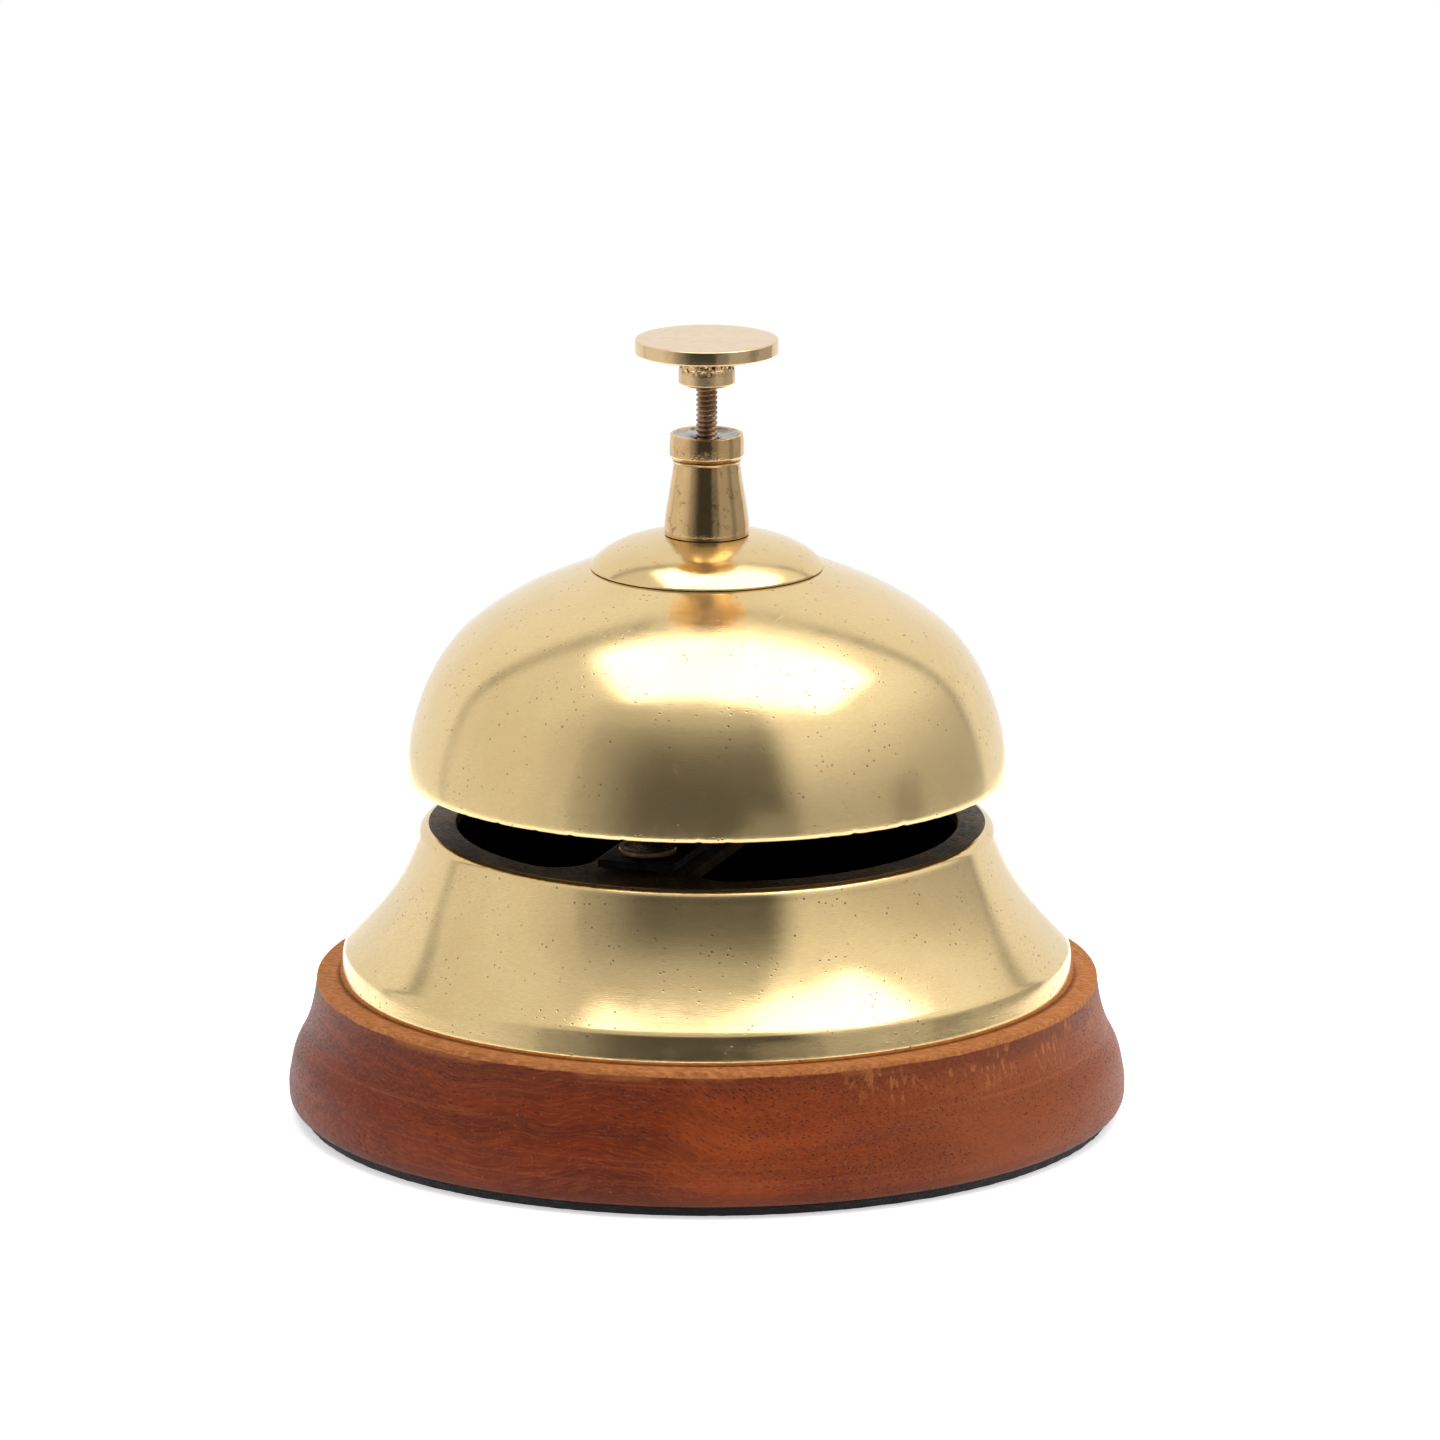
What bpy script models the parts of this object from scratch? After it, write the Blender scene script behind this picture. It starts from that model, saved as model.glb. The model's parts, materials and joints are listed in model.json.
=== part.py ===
"""Desk call bell.

A felt-backed turned wooden base carries a flared brass skirt.  A steel stirrup on the skirt's
bridge holds a hollow post, and the post holds the gong, its dished cap and the collar.  The
push button's stem slides in the post and presses a rocker that swings the hammer.

All figures are millimetres; mm() turns them into metres.  Z is up, the felt rests on z = 0.
The stirrup frame is turned about Z: its X runs along the rocker, its Y along the bridge.
"""
from math import atan2, cos, degrees, hypot, pi, radians, sin, sqrt

import bmesh
import bpy
from mathutils import Matrix, Vector

# ---- driving dimensions -------------------------------------------------------------------
GAP = 0.3                    # clearance wherever two pieces rest on or fit each other
COARSE, MEDIUM, FINE = 16, 24, 40    # facets round small, middling and large turned pieces
STIRRUP_TURN = radians(161.5)

FELT_RADIUS, FELT_THICKNESS = 63.0, 1.4
WOOD_RADIUS, WOOD_TOP, WOOD_TOP_RADIUS = 65.15, 21.4, 60.0
SPIGOT_RADIUS, SPIGOT_TOP = 54.0, 23.0      # raised step that centres the skirt
WOOD_BOTTOM = FELT_THICKNESS + GAP

SKIRT_BOTTOM = WOOD_TOP + GAP
SKIRT_FOOT_RADIUS, SKIRT_WALL = 57.0, 1.9
PLATE_TOP, PLATE_THICKNESS, PLATE_RADIUS = 45.9, 1.9, 43.0
WINDOW_RADIUS, WINDOW_CORNER, BRIDGE_WIDTH = 39.0, 6.0, 16.4
LUG_CIRCLE, LUG_RADIUS, LUG_TOP = 48.0, 4.5, 34.0
LUG_ANGLES = (radians(90), radians(210), radians(330))

GONG_RIM, GONG_RIM_RADIUS, GONG_CROWN, GONG_WALL = 53.8, 46.95, 86.4, 2.0
CAP_RADIUS, CAP_TOP, CAP_WALL = 18.1, 91.5, 1.0
COLLAR_TOP, COLLAR_CAVITY_TOP, COLLAR_RECESS = 107.4, 103.7, 106.2

STRIP = 1.2                  # thickness of the stirrup's steel strip
STRIP_WIDTH, LEG_OUTSIDE, STIRRUP_TOP = 12.0, 13.0, 77.8
FOOT_LENGTH, BOLT_REACH = 34.5, 28.5
BOLT_HEAD_RADIUS, BOLT_HEAD = 4.43, 0.9
SCREW_SHANK, SCREW_HOLE = 2.0, 2.4

POST_BOTTOM, POST_SHOULDER, POST_TOP = 72.3, 82.6, 96.2
POST_STUD, POST_COLUMN, POST_TUBE = 3.5, 6.5, 4.5
GUIDE_BORE, SPRING_BORE, SPRING_SEAT = 1.95, 3.4, 82.0

ROD_RADIUS, ROD_TOP, ROD_TIP = 1.65, 118.5, 69.8
HUB_RADIUS, HUB_BOTTOM = 4.35, 115.1
BUTTON_RADIUS, BUTTON_BOTTOM, BUTTON_TOP = 11.05, 120.0, 122.2
RETAINER_BOTTOM, RETAINER_HEIGHT, RETAINER_RADIUS = 101.2, 2.2, 3.5
WIRE_RADIUS, COIL_RADIUS, COIL_TURNS, COIL_STEPS = 0.3, 2.6, 8, 10

PIVOT_X, PIVOT_Z, PIN_RADIUS, PIN_HALF = 9.0, 66.7, 1.5, 14.9
LEVER_TILT = radians(12.73)  # the rocker's inner end stands up under the stem
LEVER_INNER, LEVER_OUTER, LEVER_WIDTH, LEVER_THICKNESS = -13.0, 26.0, 7.0, 1.5
LEVER_HUB_RADIUS, LEVER_HUB_HALF = 3.2, 4.0
HAMMER_ARM, HAMMER_RADIUS, HAMMER_STUD = 21.6, 3.2, 1.0


def mm(*values):
    """Millimetres to metres."""
    scaled = [value * 0.001 for value in values]
    return scaled[0] if len(scaled) == 1 else tuple(scaled)


# ---- scene, materials ---------------------------------------------------------------------
for old in list(bpy.data.objects):
    bpy.data.objects.remove(old, do_unlink=True)

BELL = bpy.data.collections.new("desk_call_bell")
CUTTERS = bpy.data.collections.new("cutters")
bpy.context.scene.collection.children.link(BELL)
bpy.context.scene.collection.children.link(CUTTERS)


def material(name, colour, metallic, roughness):
    made = bpy.data.materials.new(name)
    made.use_nodes = True
    shader = made.node_tree.nodes["Principled BSDF"]
    shader.inputs["Base Color"].default_value = (*colour, 1.0)
    shader.inputs["Metallic"].default_value = metallic
    shader.inputs["Roughness"].default_value = roughness
    made.diffuse_color = (*colour, 1.0)
    return made


BRASS = material("polished_brass", (0.80, 0.60, 0.30), 1.0, 0.20)
SATIN = material("satin_brass", (0.78, 0.55, 0.27), 1.0, 0.35)
CAST = material("cast_brass", (0.62, 0.47, 0.26), 1.0, 0.45)
STEEL = material("dull_steel", (0.42, 0.41, 0.40), 1.0, 0.45)
PATINA = material("brown_steel", (0.30, 0.20, 0.13), 1.0, 0.50)
WOOD = material("turned_hardwood", (0.33, 0.10, 0.045), 0.0, 0.38)
FELT = material("black_felt", (0.015, 0.015, 0.016), 0.0, 0.95)
FIBRE = material("fibre", (0.36, 0.12, 0.07), 0.0, 0.8)


# ---- shape helpers ------------------------------------------------------------------------
def add(name, data, finish=None, parent=None, location=(0, 0, 0), turn=(0, 0, 0)):
    """Link an object: a named part if it has a finish, otherwise a cutter."""
    made = bpy.data.objects.new(name, data)
    made.location, made.rotation_euler, made.parent = mm(*location), turn, parent
    (BELL if finish else CUTTERS).objects.link(made)
    if finish:
        data.materials.append(finish)
    else:
        made.hide_render = True
        made.display_type = "WIRE"
    return made


def empty(name, parent=None, location=(0, 0, 0), turn=(0, 0, 0)):
    made = bpy.data.objects.new(name, None)
    made.location, made.rotation_euler, made.parent = mm(*location), turn, parent
    BELL.objects.link(made)
    return made


def bezier(start, pull_start, pull_end, end, steps):
    """Points of a cubic curve, both ends included."""
    points = []
    for step in range(steps + 1):
        t = step / steps
        weights = ((1 - t) ** 3, 3 * (1 - t) ** 2 * t, 3 * (1 - t) * t * t, t ** 3)
        knots = (start, pull_start, pull_end, end)
        points.append(tuple(sum(w * k[axis] for w, k in zip(weights, knots)) for axis in (0, 1)))
    return points


def arc(centre, radius, first, last, steps):
    """Points of a circular arc from angle first to last, in degrees, both ends included."""
    angles = [radians(first + (last - first) * step / steps) for step in range(steps + 1)]
    return [(centre[0] + radius * cos(a), centre[1] + radius * sin(a)) for a in angles]


def inset(points, wall):
    """The same run of points, moved by the wall's thickness to its inner side."""
    moved = []
    for index, (radius, height) in enumerate(points):
        before = points[max(index - 1, 0)]
        after = points[min(index + 1, len(points) - 1)]
        along = (after[0] - before[0], after[1] - before[1])
        length = hypot(*along)
        moved.append((radius + wall * along[1] / length, height - wall * along[0] / length))
    return moved


def turned(name, profile, finish=None, facets=FINE, ring=False, **place):
    """Turn a profile of (radius, height) about Z; it runs down its outer side.

    A ring's profile goes on up its inner side and is closed.
    """
    mesh = bpy.data.meshes.new(name)
    points = [mm(radius, 0.0, height) for radius, height in profile]
    edges = [(i, i + 1) for i in range(len(points) - 1)]
    if ring:
        edges.append((len(points) - 1, 0))
    mesh.from_pydata(points, edges, [])
    made = add(name, mesh, finish, **place)
    screw = made.modifiers.new("turn", "SCREW")
    screw.axis = "Z"
    screw.angle = 2 * pi
    screw.steps = screw.render_steps = facets
    screw.use_merge_vertices = True
    screw.merge_threshold = 0.00001
    return made


def washer(name, outer, inner, bottom, height, finish, **place):
    top = bottom + height
    profile = [(inner, top), (outer, top), (outer, bottom), (inner, bottom)]
    return turned(name, profile, finish, place.pop("facets", COARSE), ring=True, **place)


def prism(name, radius, bottom, top, finish=None, sides=COARSE, **place):
    """Upright round bar, or a hexagon with six sides."""
    shape = bmesh.new()
    lift = Matrix.Translation((0, 0, mm((bottom + top) / 2)))
    bmesh.ops.create_cone(shape, cap_ends=True, segments=sides, radius1=mm(radius),
                          radius2=mm(radius), depth=mm(top - bottom), matrix=lift)
    mesh = bpy.data.meshes.new(name)
    shape.to_mesh(mesh)
    shape.free()
    return add(name, mesh, finish, **place)


def block(name, low, high, finish=None, **place):
    """Box between two corners."""
    size = Vector(mm(*high)) - Vector(mm(*low))
    middle = (Vector(mm(*high)) + Vector(mm(*low))) / 2
    shape = bmesh.new()
    bmesh.ops.create_cube(shape, size=1.0, matrix=Matrix.Translation(middle) @ Matrix.Diagonal((*size, 1)))
    mesh = bpy.data.meshes.new(name)
    shape.to_mesh(mesh)
    shape.free()
    return add(name, mesh, finish, **place)


def extruded(name, outline, bottom, top, finish=None, **place):
    """Flat outline of (x, y), anticlockwise, drawn out upwards into a plate."""
    shape = bmesh.new()
    flat = shape.faces.new([shape.verts.new(mm(x, y, bottom)) for x, y in reversed(outline)])
    grown = bmesh.ops.extrude_face_region(shape, geom=[flat])
    raised = [part for part in grown["geom"] if isinstance(part, bmesh.types.BMVert)]
    bmesh.ops.translate(shape, verts=raised, vec=(0, 0, mm(top - bottom)))
    bmesh.ops.recalc_face_normals(shape, faces=shape.faces)
    mesh = bpy.data.meshes.new(name)
    shape.to_mesh(mesh)
    shape.free()
    return add(name, mesh, finish, **place)


def combine(piece, tool, operation="DIFFERENCE"):
    step = piece.modifiers.new(tool.name, "BOOLEAN")
    step.operation = operation
    step.solver = "EXACT"
    step.object = tool
    return piece


def soften(piece, width, angle=30, segments=2):
    step = piece.modifiers.new("soften", "BEVEL")
    step.width = mm(width)
    step.segments = segments
    step.limit_method = "ANGLE"
    step.angle_limit = radians(angle)
    return piece


def hex_nut(name, radius, hole, bottom, height, finish, **place):
    nut = prism(name, radius, bottom, bottom + height, finish, 6, **place)
    bore = prism(name + "_bore", hole, bottom - 1, bottom + height + 1, None, COARSE, **place)
    return combine(nut, bore)


# ---- base: felt, wood, skirt and their screws ---------------------------------------------
def lug_place(angle):
    return {"location": (LUG_CIRCLE * cos(angle), LUG_CIRCLE * sin(angle), 0)}


def make_felt_pad():
    edge = 0.3
    turned("felt_pad", [(0, FELT_THICKNESS), (FELT_RADIUS - edge, FELT_THICKNESS),
                        (FELT_RADIUS, FELT_THICKNESS - edge), (FELT_RADIUS, 0), (0, 0)], FELT)


def make_wooden_base():
    shoulder = bezier((60.75, 21.0), (62.44, 9.99), (64.29, 13.26), (65.08, 6.0), 8)
    profile = [(0, SPIGOT_TOP), (SPIGOT_RADIUS - 0.4, SPIGOT_TOP), (SPIGOT_RADIUS, SPIGOT_TOP - 0.4),
               (SPIGOT_RADIUS, WOOD_TOP), (WOOD_TOP_RADIUS, WOOD_TOP)]
    profile += shoulder + [(WOOD_RADIUS, 4.4), (WOOD_RADIUS, 2.7), (64.7, 1.95)]
    profile += [(64.0, WOOD_BOTTOM), (0, WOOD_BOTTOM)]
    base = turned("wooden_base", profile, WOOD)
    for number, angle in enumerate(LUG_ANGLES, 1):
        combine(base, prism(f"base_hole_{number}", SCREW_HOLE, 0, 25, **lug_place(angle)))
        combine(base, prism(f"counterbore_{number}", 4.7, 0, 8.0, **lug_place(angle)))


def skirt_outline():
    """Outer side of the skirt, from the lip of its plate down to its foot."""
    lip = arc((PLATE_RADIUS, PLATE_TOP - 1.8), 1.8, 90, 27, 3)
    flare = bezier((44.75, 44.4), (47.82, 36.03), (49.91, 33.03), (56.57, 26.0), 7)
    return lip + flare + [(SKIRT_FOOT_RADIUS, 24.6), (SKIRT_FOOT_RADIUS, 23.0), (56.5, SKIRT_BOTTOM)]


def window_outline():
    """D-shaped window beside the bridge, anticlockwise, with rounded corners."""
    corner_x = BRIDGE_WIDTH / 2 + WINDOW_CORNER
    corner_y = sqrt((WINDOW_RADIUS - WINDOW_CORNER) ** 2 - corner_x ** 2)
    reach = degrees(atan2(corner_y, corner_x))
    return (arc((0, 0), WINDOW_RADIUS, -reach, reach, 16)
            + arc((corner_x, corner_y), WINDOW_CORNER, reach, 180, 5)[1:]
            + arc((corner_x, -corner_y), WINDOW_CORNER, 180, 360 - reach, 5)[:-1])


def make_base_skirt():
    outline = skirt_outline()
    inside = inset(outline, SKIRT_WALL)[5:-1]
    foot = SKIRT_FOOT_RADIUS - SKIRT_WALL
    ceiling = PLATE_TOP - PLATE_THICKNESS
    lining = [(foot, SKIRT_BOTTOM)] + inside[::-1] + [(PLATE_RADIUS - 1.2, ceiling), (0, ceiling)]
    skirt = turned("base_skirt", [(0, PLATE_TOP)] + outline + lining, CAST)
    half_wall = inset(outline, SKIRT_WALL / 2)[4:-1]
    core = turned("skirt_core", [(0, ceiling)] + half_wall + [(0, SKIRT_BOTTOM)])
    for number, angle in enumerate(LUG_ANGLES, 1):
        lug = prism(f"lug_{number}", LUG_RADIUS, SPIGOT_TOP + GAP, LUG_TOP, **lug_place(angle))
        combine(lug, core, "INTERSECT")
        combine(skirt, lug, "UNION")
    for number, side in enumerate((1, -1), 1):
        outline = [(side * x, y) for x, y in window_outline()[::side]]
        combine(skirt, extruded(f"window_{number}", outline, 40, 50, parent=STIRRUP))
    for number, side in enumerate((1, -1), 1):
        hole = prism(f"bridge_hole_{number}", SCREW_HOLE, 40, 50, parent=STIRRUP,
                     location=(0, side * BOLT_REACH, 0))
        combine(skirt, hole)
    for number, angle in enumerate(LUG_ANGLES, 1):
        combine(skirt, prism(f"lug_hole_{number}", SCREW_HOLE, 20, 30.8, **lug_place(angle)))


def make_base_screws():
    seat = 6.6
    shank = [(0, 30.3), (1.5, 30.3), (SCREW_SHANK, 29.6), (SCREW_SHANK, seat)]
    head = [(3.9, seat), (3.9, seat - 1.4), (3.0, seat - 2.6), (0, seat - 2.6)]
    for number, angle in enumerate(LUG_ANGLES, 1):
        place = lug_place(angle)
        screw = turned(f"base_screw_{number}", shank + head, STEEL, COARSE, **place)
        slot = block(f"screw_slot_{number}", (-5, -0.5, seat - 4), (5, 0.5, seat - 1.5), **place)
        combine(screw, slot)
        washer(f"base_washer_{number}", 4.3, SCREW_SHANK + GAP, seat + GAP, 0.8, STEEL, **place)


# ---- stirrup on the bridge ----------------------------------------------------------------
def stirrup_path():
    """Middle line of the bent strip in the stirrup's Y-Z plane, foot to foot, round bends."""
    bend = 2.4
    foot = PLATE_TOP + GAP + STRIP / 2
    leg = LEG_OUTSIDE - STRIP / 2
    roof = STIRRUP_TOP - STRIP / 2
    lower = arc((leg + bend, foot + bend), bend, 270, 180, 4)
    upper = arc((leg - bend, roof - bend), bend, 0, 90, 4)
    side = [(FOOT_LENGTH, foot)] + lower + upper
    return side + [(-y, z) for y, z in reversed(side)]


def make_yoke_bracket():
    shape = bmesh.new()
    half = STRIP_WIDTH / 2
    rows = [[shape.verts.new(mm(x, y, z)) for y, z in stirrup_path()] for x in (-half, half)]
    for index in range(len(rows[0]) - 1):
        shape.faces.new((rows[0][index], rows[0][index + 1], rows[1][index + 1], rows[1][index]))
    bmesh.ops.recalc_face_normals(shape, faces=shape.faces)
    mesh = bpy.data.meshes.new("yoke_bracket")
    shape.to_mesh(mesh)
    shape.free()
    bracket = add("yoke_bracket", mesh, STEEL, parent=STIRRUP)
    thicken = bracket.modifiers.new("strip", "SOLIDIFY")
    thicken.thickness = mm(STRIP)
    thicken.offset = 0.0
    thicken.use_even_offset = True
    for number, side in enumerate((1, -1), 1):
        inner, outer = sorted((side * (LEG_OUTSIDE - 0.1), side * (LEG_OUTSIDE - STRIP + 0.1)))
        ear = block(f"ear_{number}", (2.0, inner, PIVOT_Z - 4.4), (PIVOT_X + 4.4, outer, PIVOT_Z + 4.4),
                    parent=STIRRUP)
        combine(bracket, ear, "UNION")
        hole = prism(f"foot_hole_{number}", SCREW_HOLE, 44, 50, parent=STIRRUP,
                     location=(0, side * BOLT_REACH, 0))
        combine(bracket, hole)
    combine(bracket, prism("roof_hole", POST_STUD + GAP, 70, 80, parent=STIRRUP))
    combine(bracket, pivot_bar("ear_bore", PIN_RADIUS + GAP, -20, 20))


def make_yoke_bolts():
    seat = PLATE_TOP + STRIP + 2 * GAP
    under = PLATE_TOP - PLATE_THICKNESS
    edge = 0.25
    profile = [(0, seat + BOLT_HEAD), (BOLT_HEAD_RADIUS - edge, seat + BOLT_HEAD),
               (BOLT_HEAD_RADIUS, seat + BOLT_HEAD - edge), (BOLT_HEAD_RADIUS, seat),
               (SCREW_SHANK, seat), (SCREW_SHANK, 39.9), (1.5, 39.3), (0, 39.3)]
    for number, side in enumerate((1, -1), 1):
        place = {"parent": STIRRUP, "location": (0, side * BOLT_REACH, 0)}
        turned(f"yoke_bolt_{number}", profile, PATINA, MEDIUM, **place)
        washer(f"yoke_washer_{number}", 4.4, SCREW_SHANK + GAP, under - GAP - 0.7, 0.7, STEEL, **place)
        hex_nut(f"yoke_nut_{number}", 4.2, SCREW_SHANK + GAP, under - 2 * GAP - 3.1, 2.4, STEEL, **place)


# ---- post, gong, cap and collar -----------------------------------------------------------
def make_centre_post():
    roof = STIRRUP_TOP + GAP
    outer = [(POST_TUBE, POST_TOP), (POST_TUBE, POST_SHOULDER), (POST_COLUMN, POST_SHOULDER),
             (POST_COLUMN, roof), (POST_STUD, roof), (POST_STUD, POST_BOTTOM)]
    inner = [(GUIDE_BORE, POST_BOTTOM), (GUIDE_BORE, SPRING_SEAT), (SPRING_BORE, SPRING_SEAT),
             (SPRING_BORE, POST_TOP)]
    turned("centre_post", outer + inner, STEEL, MEDIUM, ring=True)
    hole = POST_STUD + GAP
    beneath = STIRRUP_TOP - STRIP - GAP
    washer("post_washer", 6.2, hole, beneath - 0.8, 0.8, STEEL)
    hex_nut("post_nut", 6.3, hole, beneath - 0.8 - GAP - 2.4, 2.4, STEEL, parent=STIRRUP)
    washer("gong_seat_washer", 9.0, POST_TUBE + GAP, POST_SHOULDER + GAP, 1.2, FIBRE, facets=MEDIUM)


def gong_outline():
    """Outer side of the gong from the edge of its flat crown down to its rim."""
    shoulder = bezier((18.3, 86.3), (28.2, 82.9), (38.0, 77.9), (42.3, 70.0), 8)
    wall = bezier((42.3, 70.0), (44.9, 65.2), (46.6, 59.4), (GONG_RIM_RADIUS, GONG_RIM + 0.6), 4)
    return [(16.8, GONG_CROWN)] + shoulder + wall[1:]


def make_gong():
    outline = gong_outline()
    inner = inset(outline, GONG_WALL)
    hole = POST_TUBE + GAP
    profile = [(hole, GONG_CROWN)] + outline + [(GONG_RIM_RADIUS - 0.5, GONG_RIM)]
    profile += [(GONG_RIM_RADIUS - GONG_WALL + 0.3, GONG_RIM)] + inner[::-1]
    profile += [(hole, GONG_CROWN - GONG_WALL)]
    turned("gong", profile, BRASS, FINE, ring=True)
    hex_nut("gong_nut", 8.0, hole, GONG_CROWN + GAP, 3.0, STEEL)


def make_dome_cap():
    dome = [(6.9, CAP_TOP)] + bezier((9.5, 91.05), (13.3, 90.1), (15.9, 88.8), (17.75, 87.0), 5)
    hole = POST_TUBE + GAP
    rim = GONG_CROWN + GAP + 0.05
    inner = [point for point in inset(dome, CAP_WALL) if point[1] > rim + 0.2]
    profile = [(hole, CAP_TOP)] + dome + [(CAP_RADIUS, rim + 0.2), (CAP_RADIUS - 0.1, rim)]
    profile += [(CAP_RADIUS - 1.1, rim)] + inner[::-1] + [(hole, CAP_TOP - CAP_WALL)]
    turned("dome_cap", profile, BRASS, MEDIUM, ring=True)


def make_collar():
    taper = bezier((5.07, 102.9), (5.25, 99.64), (6.5, 96.55), (6.56, 93.2), 5)
    head = [(4.6, COLLAR_TOP), (5.35, COLLAR_TOP), (5.75, COLLAR_TOP - 0.5), (5.75, 104.5)]
    neck = [(5.15, 104.0), (5.07, 103.5)]
    bottom = CAP_TOP + GAP
    bore = POST_TUBE + GAP
    inner = [(bore, bottom), (bore, POST_TOP + GAP), (3.95, POST_TOP + GAP), (3.95, COLLAR_CAVITY_TOP),
             (2.15, COLLAR_CAVITY_TOP), (2.15, COLLAR_RECESS), (4.6, COLLAR_RECESS)]
    turned("collar", head + neck + taper + [(6.56, bottom)] + inner, SATIN, MEDIUM, ring=True)


# ---- push button --------------------------------------------------------------------------
def make_plunger():
    tip = arc((0, ROD_TIP + ROD_RADIUS), ROD_RADIUS, 0, -90, 4)
    rod = [(0, ROD_TOP), (ROD_RADIUS - 0.3, ROD_TOP), (ROD_RADIUS, ROD_TOP - 0.3)] + tip[:-1]
    turned("plunger_rod", rod + [(0, ROD_TIP)], PATINA, COARSE)
    hub_top = BUTTON_BOTTOM - GAP
    socket = ROD_RADIUS + GAP
    hub = [(0, hub_top), (HUB_RADIUS, hub_top), (HUB_RADIUS, HUB_BOTTOM + 0.4),
           (HUB_RADIUS - 0.4, HUB_BOTTOM), (socket, HUB_BOTTOM), (socket, ROD_TOP + GAP), (0, ROD_TOP + GAP)]
    turned("button_hub", hub, SATIN, MEDIUM)
    edge = 0.25
    disc = [(0, BUTTON_TOP), (BUTTON_RADIUS - edge, BUTTON_TOP), (BUTTON_RADIUS, BUTTON_TOP - edge),
            (BUTTON_RADIUS, BUTTON_BOTTOM + edge), (BUTTON_RADIUS - edge, BUTTON_BOTTOM), (0, BUTTON_BOTTOM)]
    turned("button_disc", disc, SATIN, FINE)
    hex_nut("spring_retainer_nut", RETAINER_RADIUS, socket, RETAINER_BOTTOM, RETAINER_HEIGHT, STEEL)


def make_return_spring():
    """Compression spring, a round wire on a computed helix."""
    low = SPRING_SEAT + GAP + WIRE_RADIUS
    high = RETAINER_BOTTOM - GAP - WIRE_RADIUS
    curve = bpy.data.curves.new("return_spring", "CURVE")
    curve.dimensions = "3D"
    curve.bevel_depth = mm(WIRE_RADIUS)
    curve.bevel_resolution = 2
    curve.use_fill_caps = True
    line = curve.splines.new("POLY")
    count = COIL_TURNS * COIL_STEPS
    line.points.add(count)
    for index in range(count + 1):
        angle = 2 * pi * index / COIL_STEPS
        height = low + (high - low) * index / count
        line.points[index].co = (*mm(COIL_RADIUS * cos(angle), COIL_RADIUS * sin(angle), height), 1)
    add("return_spring", curve, STEEL)


# ---- rocker and hammer --------------------------------------------------------------------
def pivot_bar(name, radius, start, end, finish=None):
    """Round bar along the rocker's axle; start and end lie on the stirrup's Y."""
    return prism(name, radius, -end, -start, finish, parent=PIVOT, turn=(radians(90), 0, 0))


def make_pivot():
    pivot_bar("pivot_pin", PIN_RADIUS, -PIN_HALF, PIN_HALF, STEEL)
    bore = PIN_RADIUS + GAP
    sideways = {"parent": PIVOT, "turn": (radians(90), 0, 0)}
    spacer = LEG_OUTSIDE - STRIP - LEVER_HUB_HALF - 2 * GAP
    for number, side in enumerate((1, -1), 1):
        low = LEVER_HUB_HALF + GAP if side > 0 else -LEVER_HUB_HALF - GAP - spacer
        washer(f"pivot_spacer_{number}", 2.7, bore, low, spacer, SATIN, **sideways)
        low = LEG_OUTSIDE + GAP if side > 0 else -LEG_OUTSIDE - GAP - 0.7
        washer(f"pivot_clip_{number}", 3.1, bore, low, 0.7, STEEL, **sideways)


def make_hammer_lever():
    half, thick = LEVER_WIDTH / 2, LEVER_THICKNESS / 2
    lever = block("hammer_lever", (LEVER_INNER, -half, -thick), (LEVER_OUTER, half, thick), STEEL,
                  parent=ROCKER)
    soften(lever, 0.4, 60, 1)
    across = {"parent": ROCKER, "turn": (radians(90), 0, 0)}
    hub = prism("lever_hub", LEVER_HUB_RADIUS, -LEVER_HUB_HALF, LEVER_HUB_HALF, **across)
    combine(lever, hub, "UNION")
    combine(lever, prism("lever_bore", PIN_RADIUS + GAP, -9, 9, **across))
    combine(lever, prism("stud_hole", HAMMER_STUD + GAP, -4, 4, parent=ROCKER,
                         location=(HAMMER_ARM, 0, 0)))


def make_hammer_head():
    place = {"parent": ROCKER, "location": (HAMMER_ARM, 0, 0)}
    seat = LEVER_THICKNESS / 2 + GAP
    middle = seat + 2.0
    ball = arc((0, middle), HAMMER_RADIUS, 90, -30, 9)[1:]
    neck = [(ball[-1][0], seat), (HAMMER_STUD, seat), (HAMMER_STUD, -3.3), (0, -3.3)]
    turned("hammer_head", [(0, middle + HAMMER_RADIUS)] + ball + neck, SATIN, COARSE, **place)
    hex_nut("hammer_nut", 2.3, HAMMER_STUD + GAP, -seat - 1.7, 1.7, STEEL, **place)


STIRRUP = empty("stirrup_frame", turn=(0, 0, STIRRUP_TURN))
PIVOT = empty("pivot_frame", STIRRUP, (PIVOT_X, 0, PIVOT_Z))
ROCKER = empty("rocker_frame", PIVOT, turn=(0, LEVER_TILT, 0))

make_felt_pad()
make_wooden_base()
make_base_skirt()
make_base_screws()
make_yoke_bracket()
make_yoke_bolts()
make_centre_post()
make_gong()
make_dome_cap()
make_collar()
make_plunger()
make_return_spring()
make_pivot()
make_hammer_lever()
make_hammer_head()
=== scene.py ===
"""Looks of the desk call bell: finely turned brass, worn hardwood, felt and a threaded stem.

Heights and radii are millimetres measured from the CAD node that a piece stands for, so every
piece sits where its node sits.  Metres are used only where Blender is called.
"""
import json
from math import atan2, cos, degrees, hypot, pi, radians, sin, sqrt, tan

import bmesh
import bpy
from mathutils import Matrix, Vector, noise


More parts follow.
